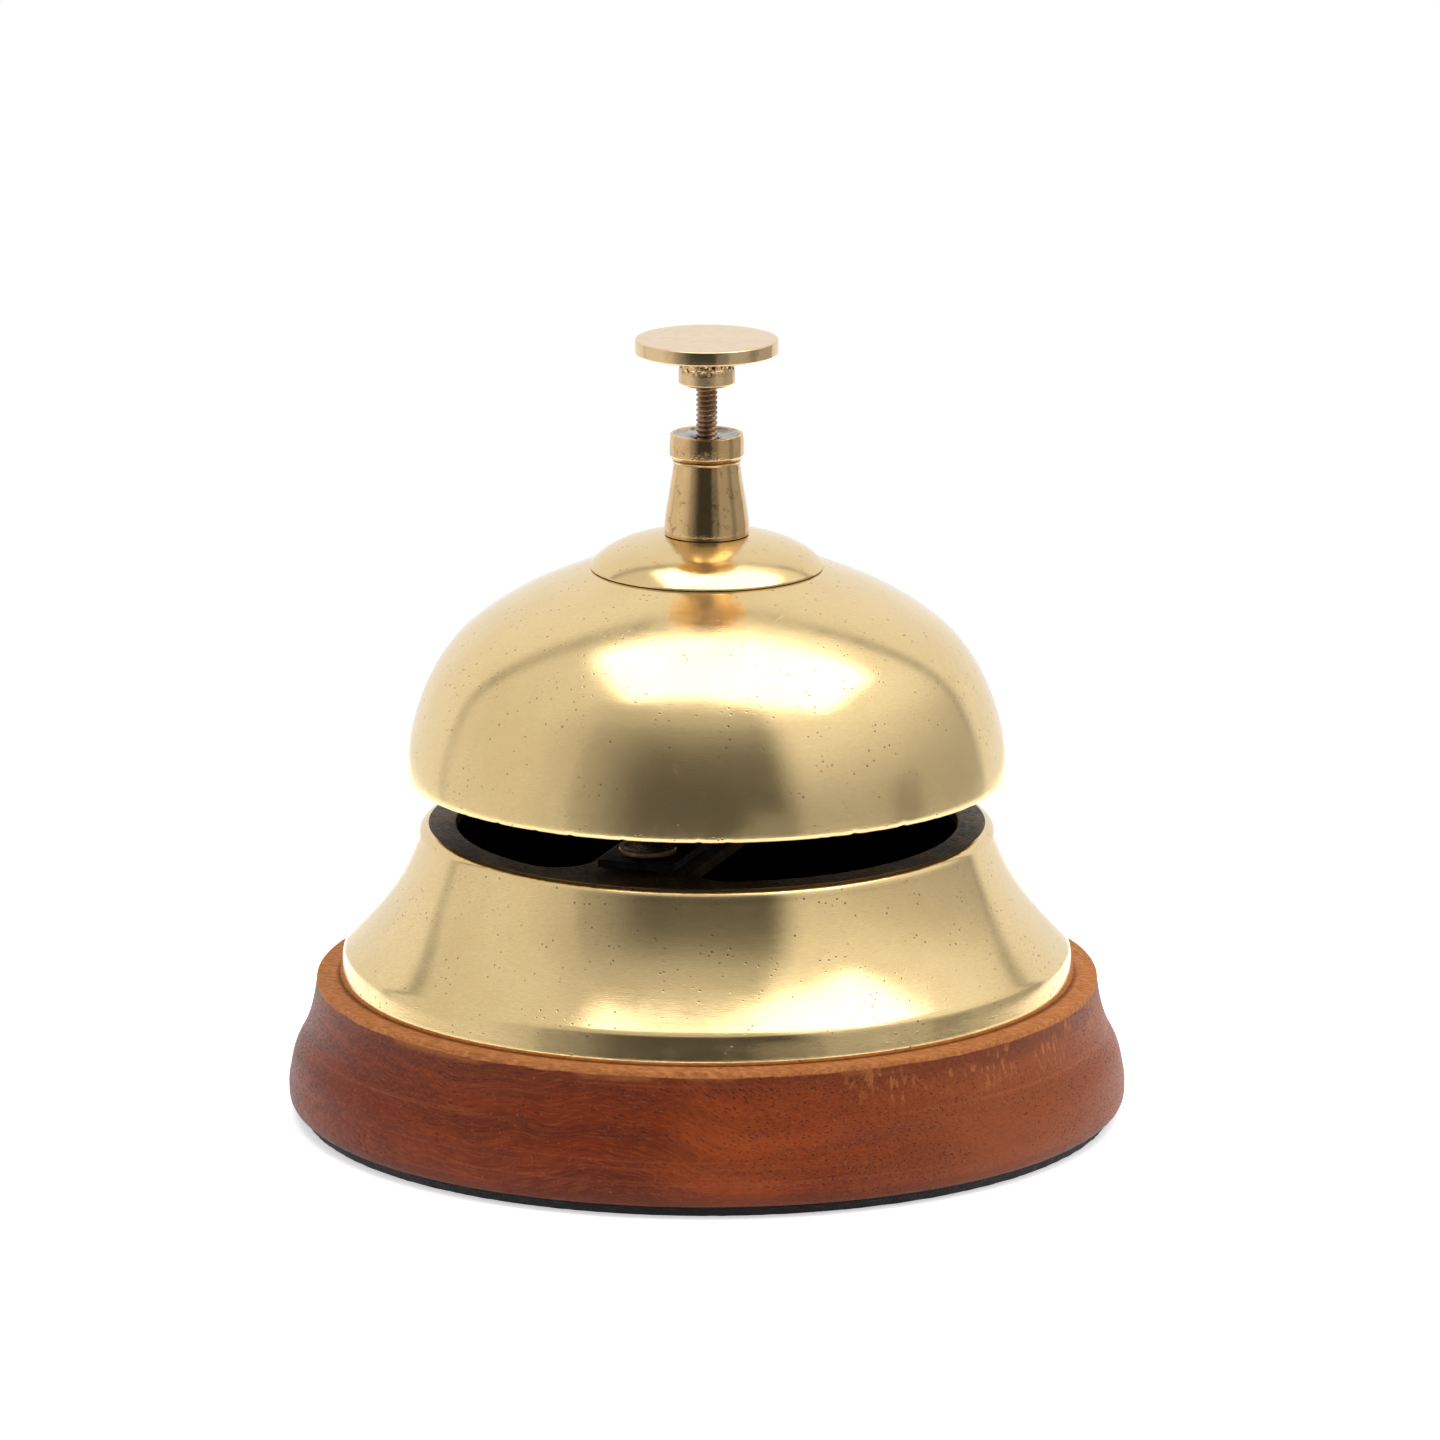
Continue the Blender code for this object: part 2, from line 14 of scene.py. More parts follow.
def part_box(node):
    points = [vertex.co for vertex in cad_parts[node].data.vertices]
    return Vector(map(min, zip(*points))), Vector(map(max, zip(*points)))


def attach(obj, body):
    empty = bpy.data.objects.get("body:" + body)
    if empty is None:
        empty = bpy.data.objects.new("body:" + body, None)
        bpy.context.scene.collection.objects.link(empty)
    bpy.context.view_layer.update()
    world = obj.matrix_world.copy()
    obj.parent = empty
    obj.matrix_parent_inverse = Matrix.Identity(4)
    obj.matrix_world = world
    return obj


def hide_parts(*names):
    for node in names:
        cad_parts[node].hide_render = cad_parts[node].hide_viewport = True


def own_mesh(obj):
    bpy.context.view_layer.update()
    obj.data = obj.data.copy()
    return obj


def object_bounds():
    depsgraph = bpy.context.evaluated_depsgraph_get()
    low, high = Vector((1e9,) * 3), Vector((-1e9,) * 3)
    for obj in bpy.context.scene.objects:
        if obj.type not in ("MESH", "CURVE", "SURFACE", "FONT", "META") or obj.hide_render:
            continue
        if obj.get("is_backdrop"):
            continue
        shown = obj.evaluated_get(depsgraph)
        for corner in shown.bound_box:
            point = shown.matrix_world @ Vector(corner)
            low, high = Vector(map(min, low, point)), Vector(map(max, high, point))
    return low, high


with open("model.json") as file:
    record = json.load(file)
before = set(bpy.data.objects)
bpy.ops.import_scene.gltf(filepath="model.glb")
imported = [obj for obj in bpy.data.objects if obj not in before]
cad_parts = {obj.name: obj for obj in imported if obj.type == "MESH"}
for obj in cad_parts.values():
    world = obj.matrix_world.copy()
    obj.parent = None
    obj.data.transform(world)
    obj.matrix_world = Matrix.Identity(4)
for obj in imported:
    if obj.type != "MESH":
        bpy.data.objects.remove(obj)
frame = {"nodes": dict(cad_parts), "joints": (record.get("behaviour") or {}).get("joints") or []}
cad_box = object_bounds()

SMOOTH, SMALL = 192, 64      # facets round large and small turned pieces
STIRRUP_TURN = radians(161.5)
LEVER_TILT, HAMMER_ARM = radians(12.73), 21.6
SHARP_ANGLE = radians(32)
RING_TOP = 21.8              # height of the bare wooden ring that the skirt stands on
CONTACT = 0.04               # gap left where two pieces are seen to touch
POST_HOLE, SCREW_HOLE = 4.8, 2.4
GONG_WALL, CAP_WALL, SKIRT_WALL = 2.0, 1.0, 1.9
WINDOW_RADIUS, WINDOW_CORNER, HALF_BRIDGE = 39.0, 6.0, 8.2
BACKDROP, OVERHEAD = 0.97, 3.6    # brightness of the white sweep and of the light overhead


# ---- places read from the frame ------------------------------------------------------------
def floor_of(node):
    """Height of a node's underside in millimetres."""
    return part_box(node)[0][2] * 1000


def top_of(node):
    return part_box(node)[1][2] * 1000


def radius_of(node):
    """Half of a turned node's width in millimetres."""
    low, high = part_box(node)
    return (high[0] - low[0]) * 500


def centre_of(node):
    low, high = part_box(node)
    return (low[0] + high[0]) * 500, (low[1] + high[1]) * 500


# ---- outlines ------------------------------------------------------------------------------
def bezier(start, pull_start, pull_end, end, steps):
    """Points of a cubic curve, both ends included."""
    points = []
    for step in range(steps + 1):
        t = step / steps
        weights = ((1 - t) ** 3, 3 * (1 - t) ** 2 * t, 3 * (1 - t) * t * t, t ** 3)
        knots = (start, pull_start, pull_end, end)
        points.append(tuple(sum(w * k[axis] for w, k in zip(weights, knots)) for axis in (0, 1)))
    return points


def arc(centre, radius, first, last, steps):
    """Points of a circular arc from angle first to last, in degrees, both ends included."""
    angles = [radians(first + (last - first) * step / steps) for step in range(steps + 1)]
    return [(centre[0] + radius * cos(a), centre[1] + radius * sin(a)) for a in angles]


def inset(points, wall):
    """The same run of points, moved by the wall's thickness to its inner side."""
    moved = []
    for index, (radius, height) in enumerate(points):
        before = points[max(index - 1, 0)]
        after = points[min(index + 1, len(points) - 1)]
        along = (after[0] - before[0], after[1] - before[1])
        length = hypot(*along)
        moved.append((radius + wall * along[1] / length, height - wall * along[0] / length))
    return moved


def rounded(corners, closed=True, steps=4):
    """Outline from corners (radius, height, fillet); each fillet becomes a small arc."""
    points = []
    count = len(corners)
    for index, corner in enumerate(corners):
        here = Vector(corner[:2])
        fillet = corner[2] if len(corner) > 2 else 0
        at_end = not closed and index in (0, count - 1)
        if not fillet or at_end:
            points.append(tuple(here))
            continue
        before = Vector(corners[index - 1][:2]) - here
        after = Vector(corners[(index + 1) % count][:2]) - here
        half = before.angle(after) / 2
        reach = min(fillet / tan(half), before.length * 0.49, after.length * 0.49)
        start = here + before.normalized() * reach
        end = here + after.normalized() * reach
        for step in range(steps + 1):
            t = step / steps
            blend = start.lerp(here, t).lerp(here.lerp(end, t), t)
            points.append(tuple(blend))
    return points


# ---- mesh building -------------------------------------------------------------------------
def finish_mesh(name, shape, finish):
    """Turn a bmesh in millimetres into a smooth-shaded piece in metres."""
    bmesh.ops.remove_doubles(shape, verts=shape.verts, dist=0.0002)
    bmesh.ops.recalc_face_normals(shape, faces=shape.faces)
    bmesh.ops.scale(shape, verts=shape.verts, vec=(0.001, 0.001, 0.001))
    mesh = bpy.data.meshes.new(name)
    shape.to_mesh(mesh)
    shape.free()
    mesh.shade_smooth()
    mesh.set_sharp_from_angle(angle=SHARP_ANGLE)
    piece = bpy.data.objects.new(name, mesh)
    bpy.context.scene.collection.objects.link(piece)
    if finish:
        mesh.materials.append(finish)
    return piece


def skin(shape, rows, closed=True, around=False):
    """Faces between neighbouring rows of points; around joins the last row to the first."""
    count = len(rows[0])
    for here, there in zip(rows, rows[1:] + rows[:1] * around):
        for index in range(count if closed else count - 1):
            after = (index + 1) % count
            shape.faces.new((here[index], here[after], there[after], there[index]))


def revolve(profile, facets, ring, shift=None):
    """bmesh of a profile turned about Z; shift may move a point by its angle and place."""
    shape = bmesh.new()
    rows = []
    for step in range(facets):
        angle = 2 * pi * step / facets
        row = []
        for radius, height in profile:
            r, z = shift(radius, height, angle) if shift else (radius, height)
            row.append(shape.verts.new((r * cos(angle), r * sin(angle), z)))
        rows.append(row)
    skin(shape, rows, ring, around=True)
    return shape


def lathe(name, profile, finish, facets=SMOOTH, ring=True, shift=None, move=None):
    """A turned piece; move is a matrix in millimetres for a piece off the axis."""
    shape = revolve(profile, facets, ring, shift)
    if move is not None:
        bmesh.ops.transform(shape, matrix=move, verts=shape.verts)
    return finish_mesh(name, shape, finish)


def stand_for(piece, node, body="root"):
    """The piece replaces a CAD node: the node is hidden and the piece joins the given body."""
    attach(piece, body)
    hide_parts(node)
    return piece


def boolean(piece, tool, operation):
    """Apply a Boolean to the piece's mesh and remove the tool."""
    step = piece.modifiers.new("cut", "BOOLEAN")
    step.operation = operation
    step.solver = "EXACT"
    step.object = tool
    evaluated = piece.evaluated_get(bpy.context.evaluated_depsgraph_get())
    mesh = bpy.data.meshes.new_from_object(evaluated)
    piece.modifiers.clear()
    piece.data = mesh
    bpy.data.objects.remove(tool, do_unlink=True)
    mesh.shade_smooth()
    mesh.set_sharp_from_angle(angle=SHARP_ANGLE)
    return piece


def soft_edges(piece, width, segments=2, angle=40):
    bevel = piece.modifiers.new("soft_edges", "BEVEL")
    bevel.width = width * 0.001
    bevel.segments = segments
    bevel.limit_method = "ANGLE"
    bevel.angle_limit = radians(angle)
    bevel.harden_normals = True
    return piece


# ---- shader helpers ------------------------------------------------------------------------
class Shader:
    """A node material built in code: each method adds one node and returns its output."""

    def __init__(self, name):
        self.material = bpy.data.materials.new(name)
        self.material.use_nodes = True
        self.tree = self.material.node_tree
        self.surface = self.tree.nodes["Principled BSDF"]
        self.place = self.new("ShaderNodeTexCoord").outputs["Object"]
        parts = self.new("ShaderNodeSeparateXYZ")
        self.link(self.place, parts.inputs[0])
        self.x, self.y, self.z = parts.outputs

    def new(self, kind):
        return self.tree.nodes.new(kind)

    def link(self, source, target):
        self.tree.links.new(source, target)

    def put(self, value, target):
        """Link an output, or set a plain value."""
        if isinstance(value, bpy.types.NodeSocket):
            self.link(value, target)
        else:
            target.default_value = value

    def math(self, operation, first, second=0.0, clamp=False):
        node = self.new("ShaderNodeMath")
        node.operation = operation
        node.use_clamp = clamp
        for value, target in zip((first, second), node.inputs):
            self.put(value, target)
        return node.outputs[0]

    def vector(self, x, y, z):
        node = self.new("ShaderNodeCombineXYZ")
        for value, target in zip((x, y, z), node.inputs):
            self.put(value, target)
        return node.outputs[0]

    def stretch(self, x, y, z, source=None):
        node = self.new("ShaderNodeVectorMath")
        node.operation = "MULTIPLY"
        self.link(source or self.place, node.inputs[0])
        node.inputs[1].default_value = (x, y, z)
        return node.outputs[0]

    def noise(self, source, scale, detail=3.0, roughness=0.5):
        node = self.new("ShaderNodeTexNoise")
        self.link(source, node.inputs["Vector"])
        node.inputs["Scale"].default_value = scale
        node.inputs["Detail"].default_value = detail
        node.inputs["Roughness"].default_value = roughness
        return node.outputs["Fac"]

    def cells(self, source, scale):
        node = self.new("ShaderNodeTexVoronoi")
        self.link(source, node.inputs["Vector"])
        node.inputs["Scale"].default_value = scale
        return node.outputs["Distance"]

    def band(self, value, low, high, to_low=0.0, to_high=1.0):
        """Smooth step of a value from low to high."""
        node = self.new("ShaderNodeMapRange")
        node.interpolation_type = "SMOOTHSTEP"
        self.put(value, node.inputs["Value"])
        node.inputs["From Min"].default_value = low
        node.inputs["From Max"].default_value = high
        node.inputs["To Min"].default_value = to_low
        node.inputs["To Max"].default_value = to_high
        return node.outputs["Result"]

    def mix(self, factor, first, second):
        """First where the factor is 0, second where it is 1."""
        node = self.new("ShaderNodeMix")
        node.data_type = "RGBA"
        self.put(factor, node.inputs[0])
        for value, target in ((first, node.inputs[6]), (second, node.inputs[7])):
            if isinstance(value, bpy.types.NodeSocket):
                self.link(value, target)
            else:
                target.default_value = (*value, 1.0)
        return node.outputs[2]

    def bump(self, height, distance, strength=1.0, under=None):
        node = self.new("ShaderNodeBump")
        node.inputs["Strength"].default_value = strength
        node.inputs["Distance"].default_value = distance
        self.link(height, node.inputs["Height"])
        if under:
            self.link(under, node.inputs["Normal"])
        return node.outputs[0]

    def radius(self):
        squares = [self.math("MULTIPLY", part, part) for part in (self.x, self.y)]
        return self.math("SQRT", self.math("ADD", *squares))

    def turning(self, spread=0.9):
        """Coordinates for marks that run round Z: slow along the circle, quick across it."""
        radius = self.radius()
        safe = self.math("MAXIMUM", radius, 0.0001)
        across = self.math("SUBTRACT", self.z, radius)
        east = self.math("MULTIPLY", self.math("DIVIDE", self.x, safe), 0.01 * spread)
        north = self.math("MULTIPLY", self.math("DIVIDE", self.y, safe), 0.01 * spread)
        return self.vector(east, north, across)

    def finish(self, colour, roughness, normal=None, **constants):
        """Link or set the main sockets, set the others to constants, and return the material."""
        for value, socket in ((colour, "Base Color"), (roughness, "Roughness"), (normal, "Normal")):
            if isinstance(value, tuple):
                self.surface.inputs[socket].default_value = (*value, 1.0)
            elif value is not None:
                self.put(value, self.surface.inputs[socket])
        for socket, value in constants.items():
            self.surface.inputs[socket.replace("_", " ")].default_value = value
        return self.material


def brass(name, colour, tarnish, polish, haze, brushing=1.0, waves=0.16):
    """Turned brass: fine rings from the lathe, a few hairlines, pits and a breath of tarnish."""
    s = Shader(name)
    around = s.turning()
    fine = s.noise(around, 5200, 4, 0.65)
    broad = s.noise(around, 700, 3, 0.6)
    cloud = s.noise(s.place, 55, 4, 0.55)
    smear = s.noise(s.stretch(1, 1, 0.45), 160, 5, 0.6)
    pit_gate = s.band(s.noise(s.place, 240, 2), 0.46, 0.62)
    pit = s.math("MULTIPLY", s.band(s.cells(s.place, 900), 0.20, 0.09), pit_gate)
    contour = s.math("FRACT", s.math("MULTIPLY", s.noise(s.place, 48, 0), 8.0))
    hairline = s.band(s.math("ABSOLUTE", s.math("SUBTRACT", contour, 0.5)), 0.012, 0.003)
    hairline = s.math("MULTIPLY", hairline, s.band(s.noise(s.place, 110, 2), 0.60, 0.68))
    tone = s.mix(s.band(cloud, 0.38, 0.72, 0.0, 0.55), colour, tarnish)
    tone = s.mix(s.math("MULTIPLY", pit, 0.9), tone, (0.16, 0.10, 0.045))
    tone = s.mix(s.band(fine, 0.3, 0.75, 0.0, 0.20 * brushing), tone, (0.45, 0.32, 0.16))
    rough = s.math("ADD", polish, s.band(smear, 0.3, 0.8, -0.02, 0.06))
    rough = s.math("ADD", rough, s.band(broad, 0.35, 0.7, 0.0, 0.03 * brushing))
    rough = s.math("ADD", rough, s.math("MULTIPLY", hairline, 0.15), clamp=True)
    height = s.math("ADD", s.math("MULTIPLY", fine, 0.55 * brushing), s.math("MULTIPLY", broad, 0.45))
    height = s.math("SUBTRACT", height, s.math("MULTIPLY", pit, 2.2))
    height = s.math("SUBTRACT", height, s.math("MULTIPLY", hairline, 0.5))
    wave = s.bump(s.noise(s.place, 38, 2, 0.4), 0.00025, waves)
    tangent = s.new("ShaderNodeTangent")
    tangent.direction_type = "RADIAL"
    tangent.axis = "Z"
    s.link(tangent.outputs[0], s.surface.inputs["Tangent"])
    return s.finish(tone, rough, s.bump(height, 0.000018, 0.5, wave), Metallic=1.0 - haze,
                    Anisotropic=0.5, Anisotropic_Rotation=0.25)


def turned_brass(name, colour, tarnish, roughness, grime, groove=None):
    """Bright lacquered brass of the small parts: a fine dimpled skin, dark where grime gathers.

    groove is the height in millimetres of a groove that is full of dirt.
    """
    s = Shader(name)
    around = s.turning()
    rings = s.noise(around, 3200, 3, 0.6)
    dimples = s.noise(s.place, 1700, 3, 0.6)
    dirt = s.band(s.noise(s.place, 620, 5, 0.7), 0.53, 0.68, 0.0, grime)
    if groove:
        away = s.math("ABSOLUTE", s.math("SUBTRACT", s.z, groove / 1000))
        uneven = s.math("MULTIPLY", s.noise(s.place, 520, 3), 0.0006)
        dirt = s.math("MAXIMUM", dirt, s.band(s.math("ADD", away, uneven), 0.00095, 0.0004, 0.0, 0.72))
    tone = s.mix(s.noise(s.place, 260, 3), colour, tarnish)
    tone = s.mix(dirt, tone, (0.16, 0.085, 0.035))
    rough = s.math("ADD", roughness, s.math("MULTIPLY", dirt, 0.3), clamp=True)
    height = s.math("ADD", s.math("MULTIPLY", dimples, 0.8), s.math("MULTIPLY", rings, 0.5))
    return s.finish(tone, rough, s.bump(height, 0.00003, 0.5), Metallic=1.0)


def steel(name, colour, stain, roughness, rust=0.3):
    """Dull machine steel with a little grime and stain."""
    s = Shader(name)
    grime = s.noise(s.place, 260, 5, 0.65)
    grain = s.noise(s.stretch(1, 1, 6), 1500, 3, 0.6)
    spots = s.band(s.noise(s.place, 900, 3, 0.6), 0.56, 0.68)
    tone = s.mix(s.band(grime, 0.35, 0.7), colour, stain)
    tone = s.mix(s.math("MULTIPLY", spots, rust), tone, (0.16, 0.07, 0.03))
    rough = s.math("ADD", roughness, s.band(grime, 0.3, 0.8, -0.06, 0.16), clamp=True)
    height = s.math("ADD", grain, s.math("MULTIPLY", spots, 0.6))
    return s.finish(tone, rough, s.bump(height, 0.00002, 0.5), Metallic=0.92)


def hardwood(name):
    """Reddish-brown turned hardwood: short dark pores, faint bands, a raw orange top, worn edge; painted
    sheen on the right side, painted shade under the top edge and at the foot, and a painted shadow by the
    skirt.
    """
    s = Shader(name)
    sway = s.math("MULTIPLY", s.math("SUBTRACT", s.noise(s.place, 24, 2, 0.5), 0.5), 0.024)
    level = s.math("ADD", s.z, sway)
    along = s.math("SUBTRACT", s.math("MULTIPLY", s.x, 0.90), s.math("MULTIPLY", s.y, 0.44))
    across = s.math("ADD", s.math("MULTIPLY", s.x, 0.44), s.math("MULTIPLY", s.y, 0.90))
    grain = s.vector(along, across, level)
    cloud = s.noise(s.place, 26, 3, 0.5)
    streak = s.noise(s.stretch(22, 60, 330, grain), 1.0, 4, 0.62)
    fibre = s.noise(s.stretch(260, 1500, 2900, grain), 1.0, 3, 0.6)
    pore = s.band(s.noise(s.stretch(780, 2700, 4000, grain), 1.0, 1, 0.5), 0.60, 0.65)
    open_grain = s.band(s.noise(s.place, 42, 2), 0.36, 0.60, 0.25, 1.0)
    pore = s.math("MULTIPLY", pore, open_grain)
    tone = s.mix(s.band(cloud, 0.34, 0.66), (0.140, 0.0195, 0.0040), (0.262, 0.046, 0.0084))
    figured = s.band(s.x, 0.012, -0.022, 0.34, 0.74)
    tone = s.mix(s.math("MULTIPLY", s.band(streak, 0.40, 0.62), figured), tone, (0.085, 0.014, 0.005))
    # painted sheen: toward the right side (x past 12 mm) the wood turns a paler, greyer brown, standing in
    # for the bright room's reflection at a grazing angle
    tone = s.mix(s.band(s.x, 0.012, 0.050, 0.0, 0.65), tone, (0.212, 0.060, 0.0200))
    worn = s.noise(s.stretch(6, 6, 620), 1.0, 3, 0.6)
    tone = s.mix(s.band(worn, 0.55, 0.72, 0.0, 0.35), tone, (0.36, 0.100, 0.032))
    # painted shade: the side darkens from about 17 mm up to the top edge, as if shaded by the rim
    shade = s.math("MULTIPLY", s.band(s.z, 0.0170, 0.0200), s.band(cloud, 0.30, 0.60, 0.25, 0.6))
    tone = s.mix(shade, tone, (0.085, 0.016, 0.005))
    tone = s.mix(s.band(fibre, 0.40, 0.75, 0.0, 0.35), tone, (0.33, 0.072, 0.016))
    tone = s.mix(s.math("MULTIPLY", pore, 0.70), tone, (0.030, 0.008, 0.004))
    rim_noise = s.math("MULTIPLY", s.math("SUBTRACT", s.noise(s.place, 190, 3, 0.6), 0.5), 0.0007)
    up = s.band(s.math("ADD", s.z, rim_noise), 0.02085, 0.02110)
    speckle = s.noise(s.stretch(500, 1500, 1500, grain), 1.0, 4, 0.65)
    raw = s.mix(s.band(speckle, 0.35, 0.70), (0.34, 0.112, 0.030), (0.49, 0.192, 0.060))
    raw = s.mix(s.math("MULTIPLY", pore, 0.5), raw, (0.14, 0.045, 0.018))
    # painted shadow: the ring darkens inward of about 57.9 mm, where the skirt's foot stands on it
    raw = s.mix(s.band(s.radius(), 0.0572, 0.0579, 0.55, 0.0), raw, (0.06, 0.022, 0.009))
    around = s.turning(1.6)
    rub_lines = s.noise(s.stretch(1, 1, 0.10, around), 4200, 2, 0.5)
    rub_patch = s.noise(s.place, 75, 3, 0.6)
    high_side = s.math("MULTIPLY", s.band(s.z, 0.0135, 0.0180), s.band(s.x, 0.014, 0.034))
    rub = s.math("MULTIPLY", s.band(rub_lines, 0.50, 0.62), s.band(rub_patch, 0.42, 0.56))
    rub = s.math("MULTIPLY", rub, high_side)
    edge_rub = s.math("MULTIPLY", s.band(s.z, 0.0198, 0.0207), s.band(rub_patch, 0.46, 0.62))
    rub = s.math("MAXIMUM", rub, s.math("MULTIPLY", edge_rub, 0.45))
    tone = s.mix(s.math("MULTIPLY", rub, 0.72), tone, (0.46, 0.165, 0.055))
    dust = s.math("MULTIPLY", s.band(s.noise(s.place, 1900, 3, 0.7), 0.60, 0.70), 0.18)
    tone = s.mix(dust, tone, (0.45, 0.22, 0.11))
    # painted shade: the side darkens over its bottom 4.5 mm, where the foot turns under toward the felt
    tone = s.mix(s.band(s.z, 0.0045, 0.0022, 0.0, 0.5), tone, (0.075, 0.020, 0.010))
    tone = s.mix(up, tone, raw)
    scuff = s.noise(around, 2600, 4, 0.7)
    rough = s.math("ADD", 0.40, s.band(scuff, 0.35, 0.75, 0.0, 0.16))
    rough = s.math("ADD", rough, s.math("MULTIPLY", s.math("MAXIMUM", up, rub), 0.30))
    rough = s.math("ADD", rough, s.math("MULTIPLY", pore, 0.2), clamp=True)
    height = s.math("SUBTRACT", s.math("MULTIPLY", fibre, 0.35), s.math("MULTIPLY", pore, 0.9))
    height = s.math("ADD", height, s.math("MULTIPLY", scuff, 0.35))
    return s.finish(tone, rough, s.bump(height, 0.00006, 0.55), Specular_IOR_Level=0.14)


def felt_cloth(name):
    """Black felt with a little pale lint."""
    s = Shader(name)
    fluff = s.noise(s.place, 2600, 5, 0.75)
    lint = s.band(s.noise(s.place, 700, 4, 0.7), 0.62, 0.74)
    tone = s.mix(s.math("MULTIPLY", lint, 0.5), (0.010, 0.010, 0.011), (0.05, 0.048, 0.045))
    return s.finish(tone, s.band(fluff, 0.3, 0.7, 0.86, 1.0), s.bump(fluff, 0.0004, 0.8),
                    Specular_IOR_Level=0.15, Sheen_Weight=0.25, Sheen_Roughness=0.6)


def hide(name):
    """Tan leather."""
    s = Shader(name)
    grain = s.cells(s.place, 900)
    tone = s.mix(s.band(s.noise(s.place, 300, 3), 0.35, 0.7), (0.30, 0.11, 0.05), (0.16, 0.05, 0.025))
    return s.finish(tone, 0.75, s.bump(grain, 0.0001, 0.6))


def shade_darkened_casting(name):
    """The skirt's unpolished plate and inside: brass painted dark brown as the shade and dark reflection
    under the gong.
    """
    s = Shader(name)
    cloud = s.noise(s.place, 130, 5, 0.65)
    grain = s.noise(s.place, 1500, 4, 0.7)
    tone = s.mix(s.band(cloud, 0.35, 0.7), (0.050, 0.028, 0.012), (0.17, 0.105, 0.045))
    return s.finish(tone, s.band(grain, 0.3, 0.7, 0.38, 0.62), s.bump(grain, 0.00006, 0.6), Metallic=0.85)


def bell_metal_inside(name):
    """Unpolished inside of the gong."""
    s = Shader(name)
    around = s.turning()
    lines = s.noise(around, 1600, 4, 0.7)
    cloud = s.noise(s.place, 90, 4, 0.6)
    tone = s.mix(s.band(cloud, 0.35, 0.7), (0.22, 0.145, 0.065), (0.40, 0.28, 0.13))
    return s.finish(tone, s.band(lines, 0.3, 0.7, 0.34, 0.52), s.bump(lines, 0.00005, 0.6), Metallic=0.95)


def brazed_brass(name):
    """Satin brass with dark flux pits near the top of the boss."""
    s = Shader(name)
    around = s.turning()
    fine = s.noise(around, 4200, 4, 0.65)
    pit = s.band(s.noise(s.stretch(1, 1, 1.3), 1150, 4, 0.65), 0.51, 0.57)
    floor = floor_of("button_hub") / 1000
    pit = s.math("MULTIPLY", pit, s.band(s.z, floor + 0.0018, floor + 0.0027))
    tone = s.mix(s.noise(s.place, 400, 3), (0.80, 0.58, 0.33), (0.66, 0.46, 0.24))
    tone = s.mix(pit, tone, (0.050, 0.028, 0.016))
    rough = s.math("ADD", 0.24, s.math("MULTIPLY", pit, 0.4))
    height = s.math("SUBTRACT", s.math("MULTIPLY", fine, 0.3), pit)
    return s.finish(tone, rough, s.bump(height, 0.00004, 0.6), Metallic=1.0)


POLISHED = brass("polished_brass", (0.84, 0.635, 0.315), (0.72, 0.525, 0.235), 0.125, 0.09)
SKIRT_BRASS = brass("cast_brass", (0.84, 0.635, 0.315), (0.72, 0.525, 0.235), 0.100, 0.05, 1.3, 0.32)
SATIN = turned_brass("satin_brass", (0.86, 0.63, 0.365), (0.74, 0.52, 0.275), 0.13, 0.16)
COLLAR_BRASS = turned_brass("collar_brass", (0.82, 0.575, 0.290), (0.64, 0.41, 0.18), 0.075, 0.65,
                            top_of("collar") - 3.9)
# painted shade: the yoke bracket's steel is coloured near black for the shade inside the skirt
SHADE_BLACK_STEEL = steel("shade_black_steel", (0.030, 0.029, 0.028), (0.014, 0.013, 0.012), 0.5, 0.1)
STEEL = steel("dull_steel", (0.40, 0.39, 0.375), (0.20, 0.18, 0.16), 0.42)
PATINA = steel("brown_steel", (0.42, 0.285, 0.185), (0.20, 0.125, 0.075), 0.30, 0.4)
WOOD = hardwood("hardwood")
FELT = felt_cloth("felt")
LEATHER = hide("leather_washer")
SOLDERED = steel("soldered_recess", (0.62, 0.61, 0.58), (0.16, 0.15, 0.14), 0.34, 0.15)
# dark casting colour: painted shade and dark reflection under the gong
SHADE_DARK_CASTING = shade_darkened_casting("shade_darkened_casting")
GONG_INSIDE = bell_metal_inside("gong_inside")
BRAZED = brazed_brass("brazed_brass")


# ---- base ----------------------------------------------------------------------------------
def make_felt():
    radius, thick = radius_of("felt_pad"), top_of("felt_pad")

    def fuzz(r, z, angle):
        if r < radius * 0.9:
            return r, z
        spot = Vector((cos(angle) * 40, sin(angle) * 40, z * 3))
        return min(r + 0.16 * (noise.noise(spot) - 0.75), radius), z

    profile = rounded([(0, thick), (radius, thick, 0.35), (radius, thick / 2), (radius, 0, 0.2), (0, 0)],
                      closed=False)
    stand_for(lathe("felt_pad_skin", profile, FELT, 720, False, fuzz), "felt_pad")


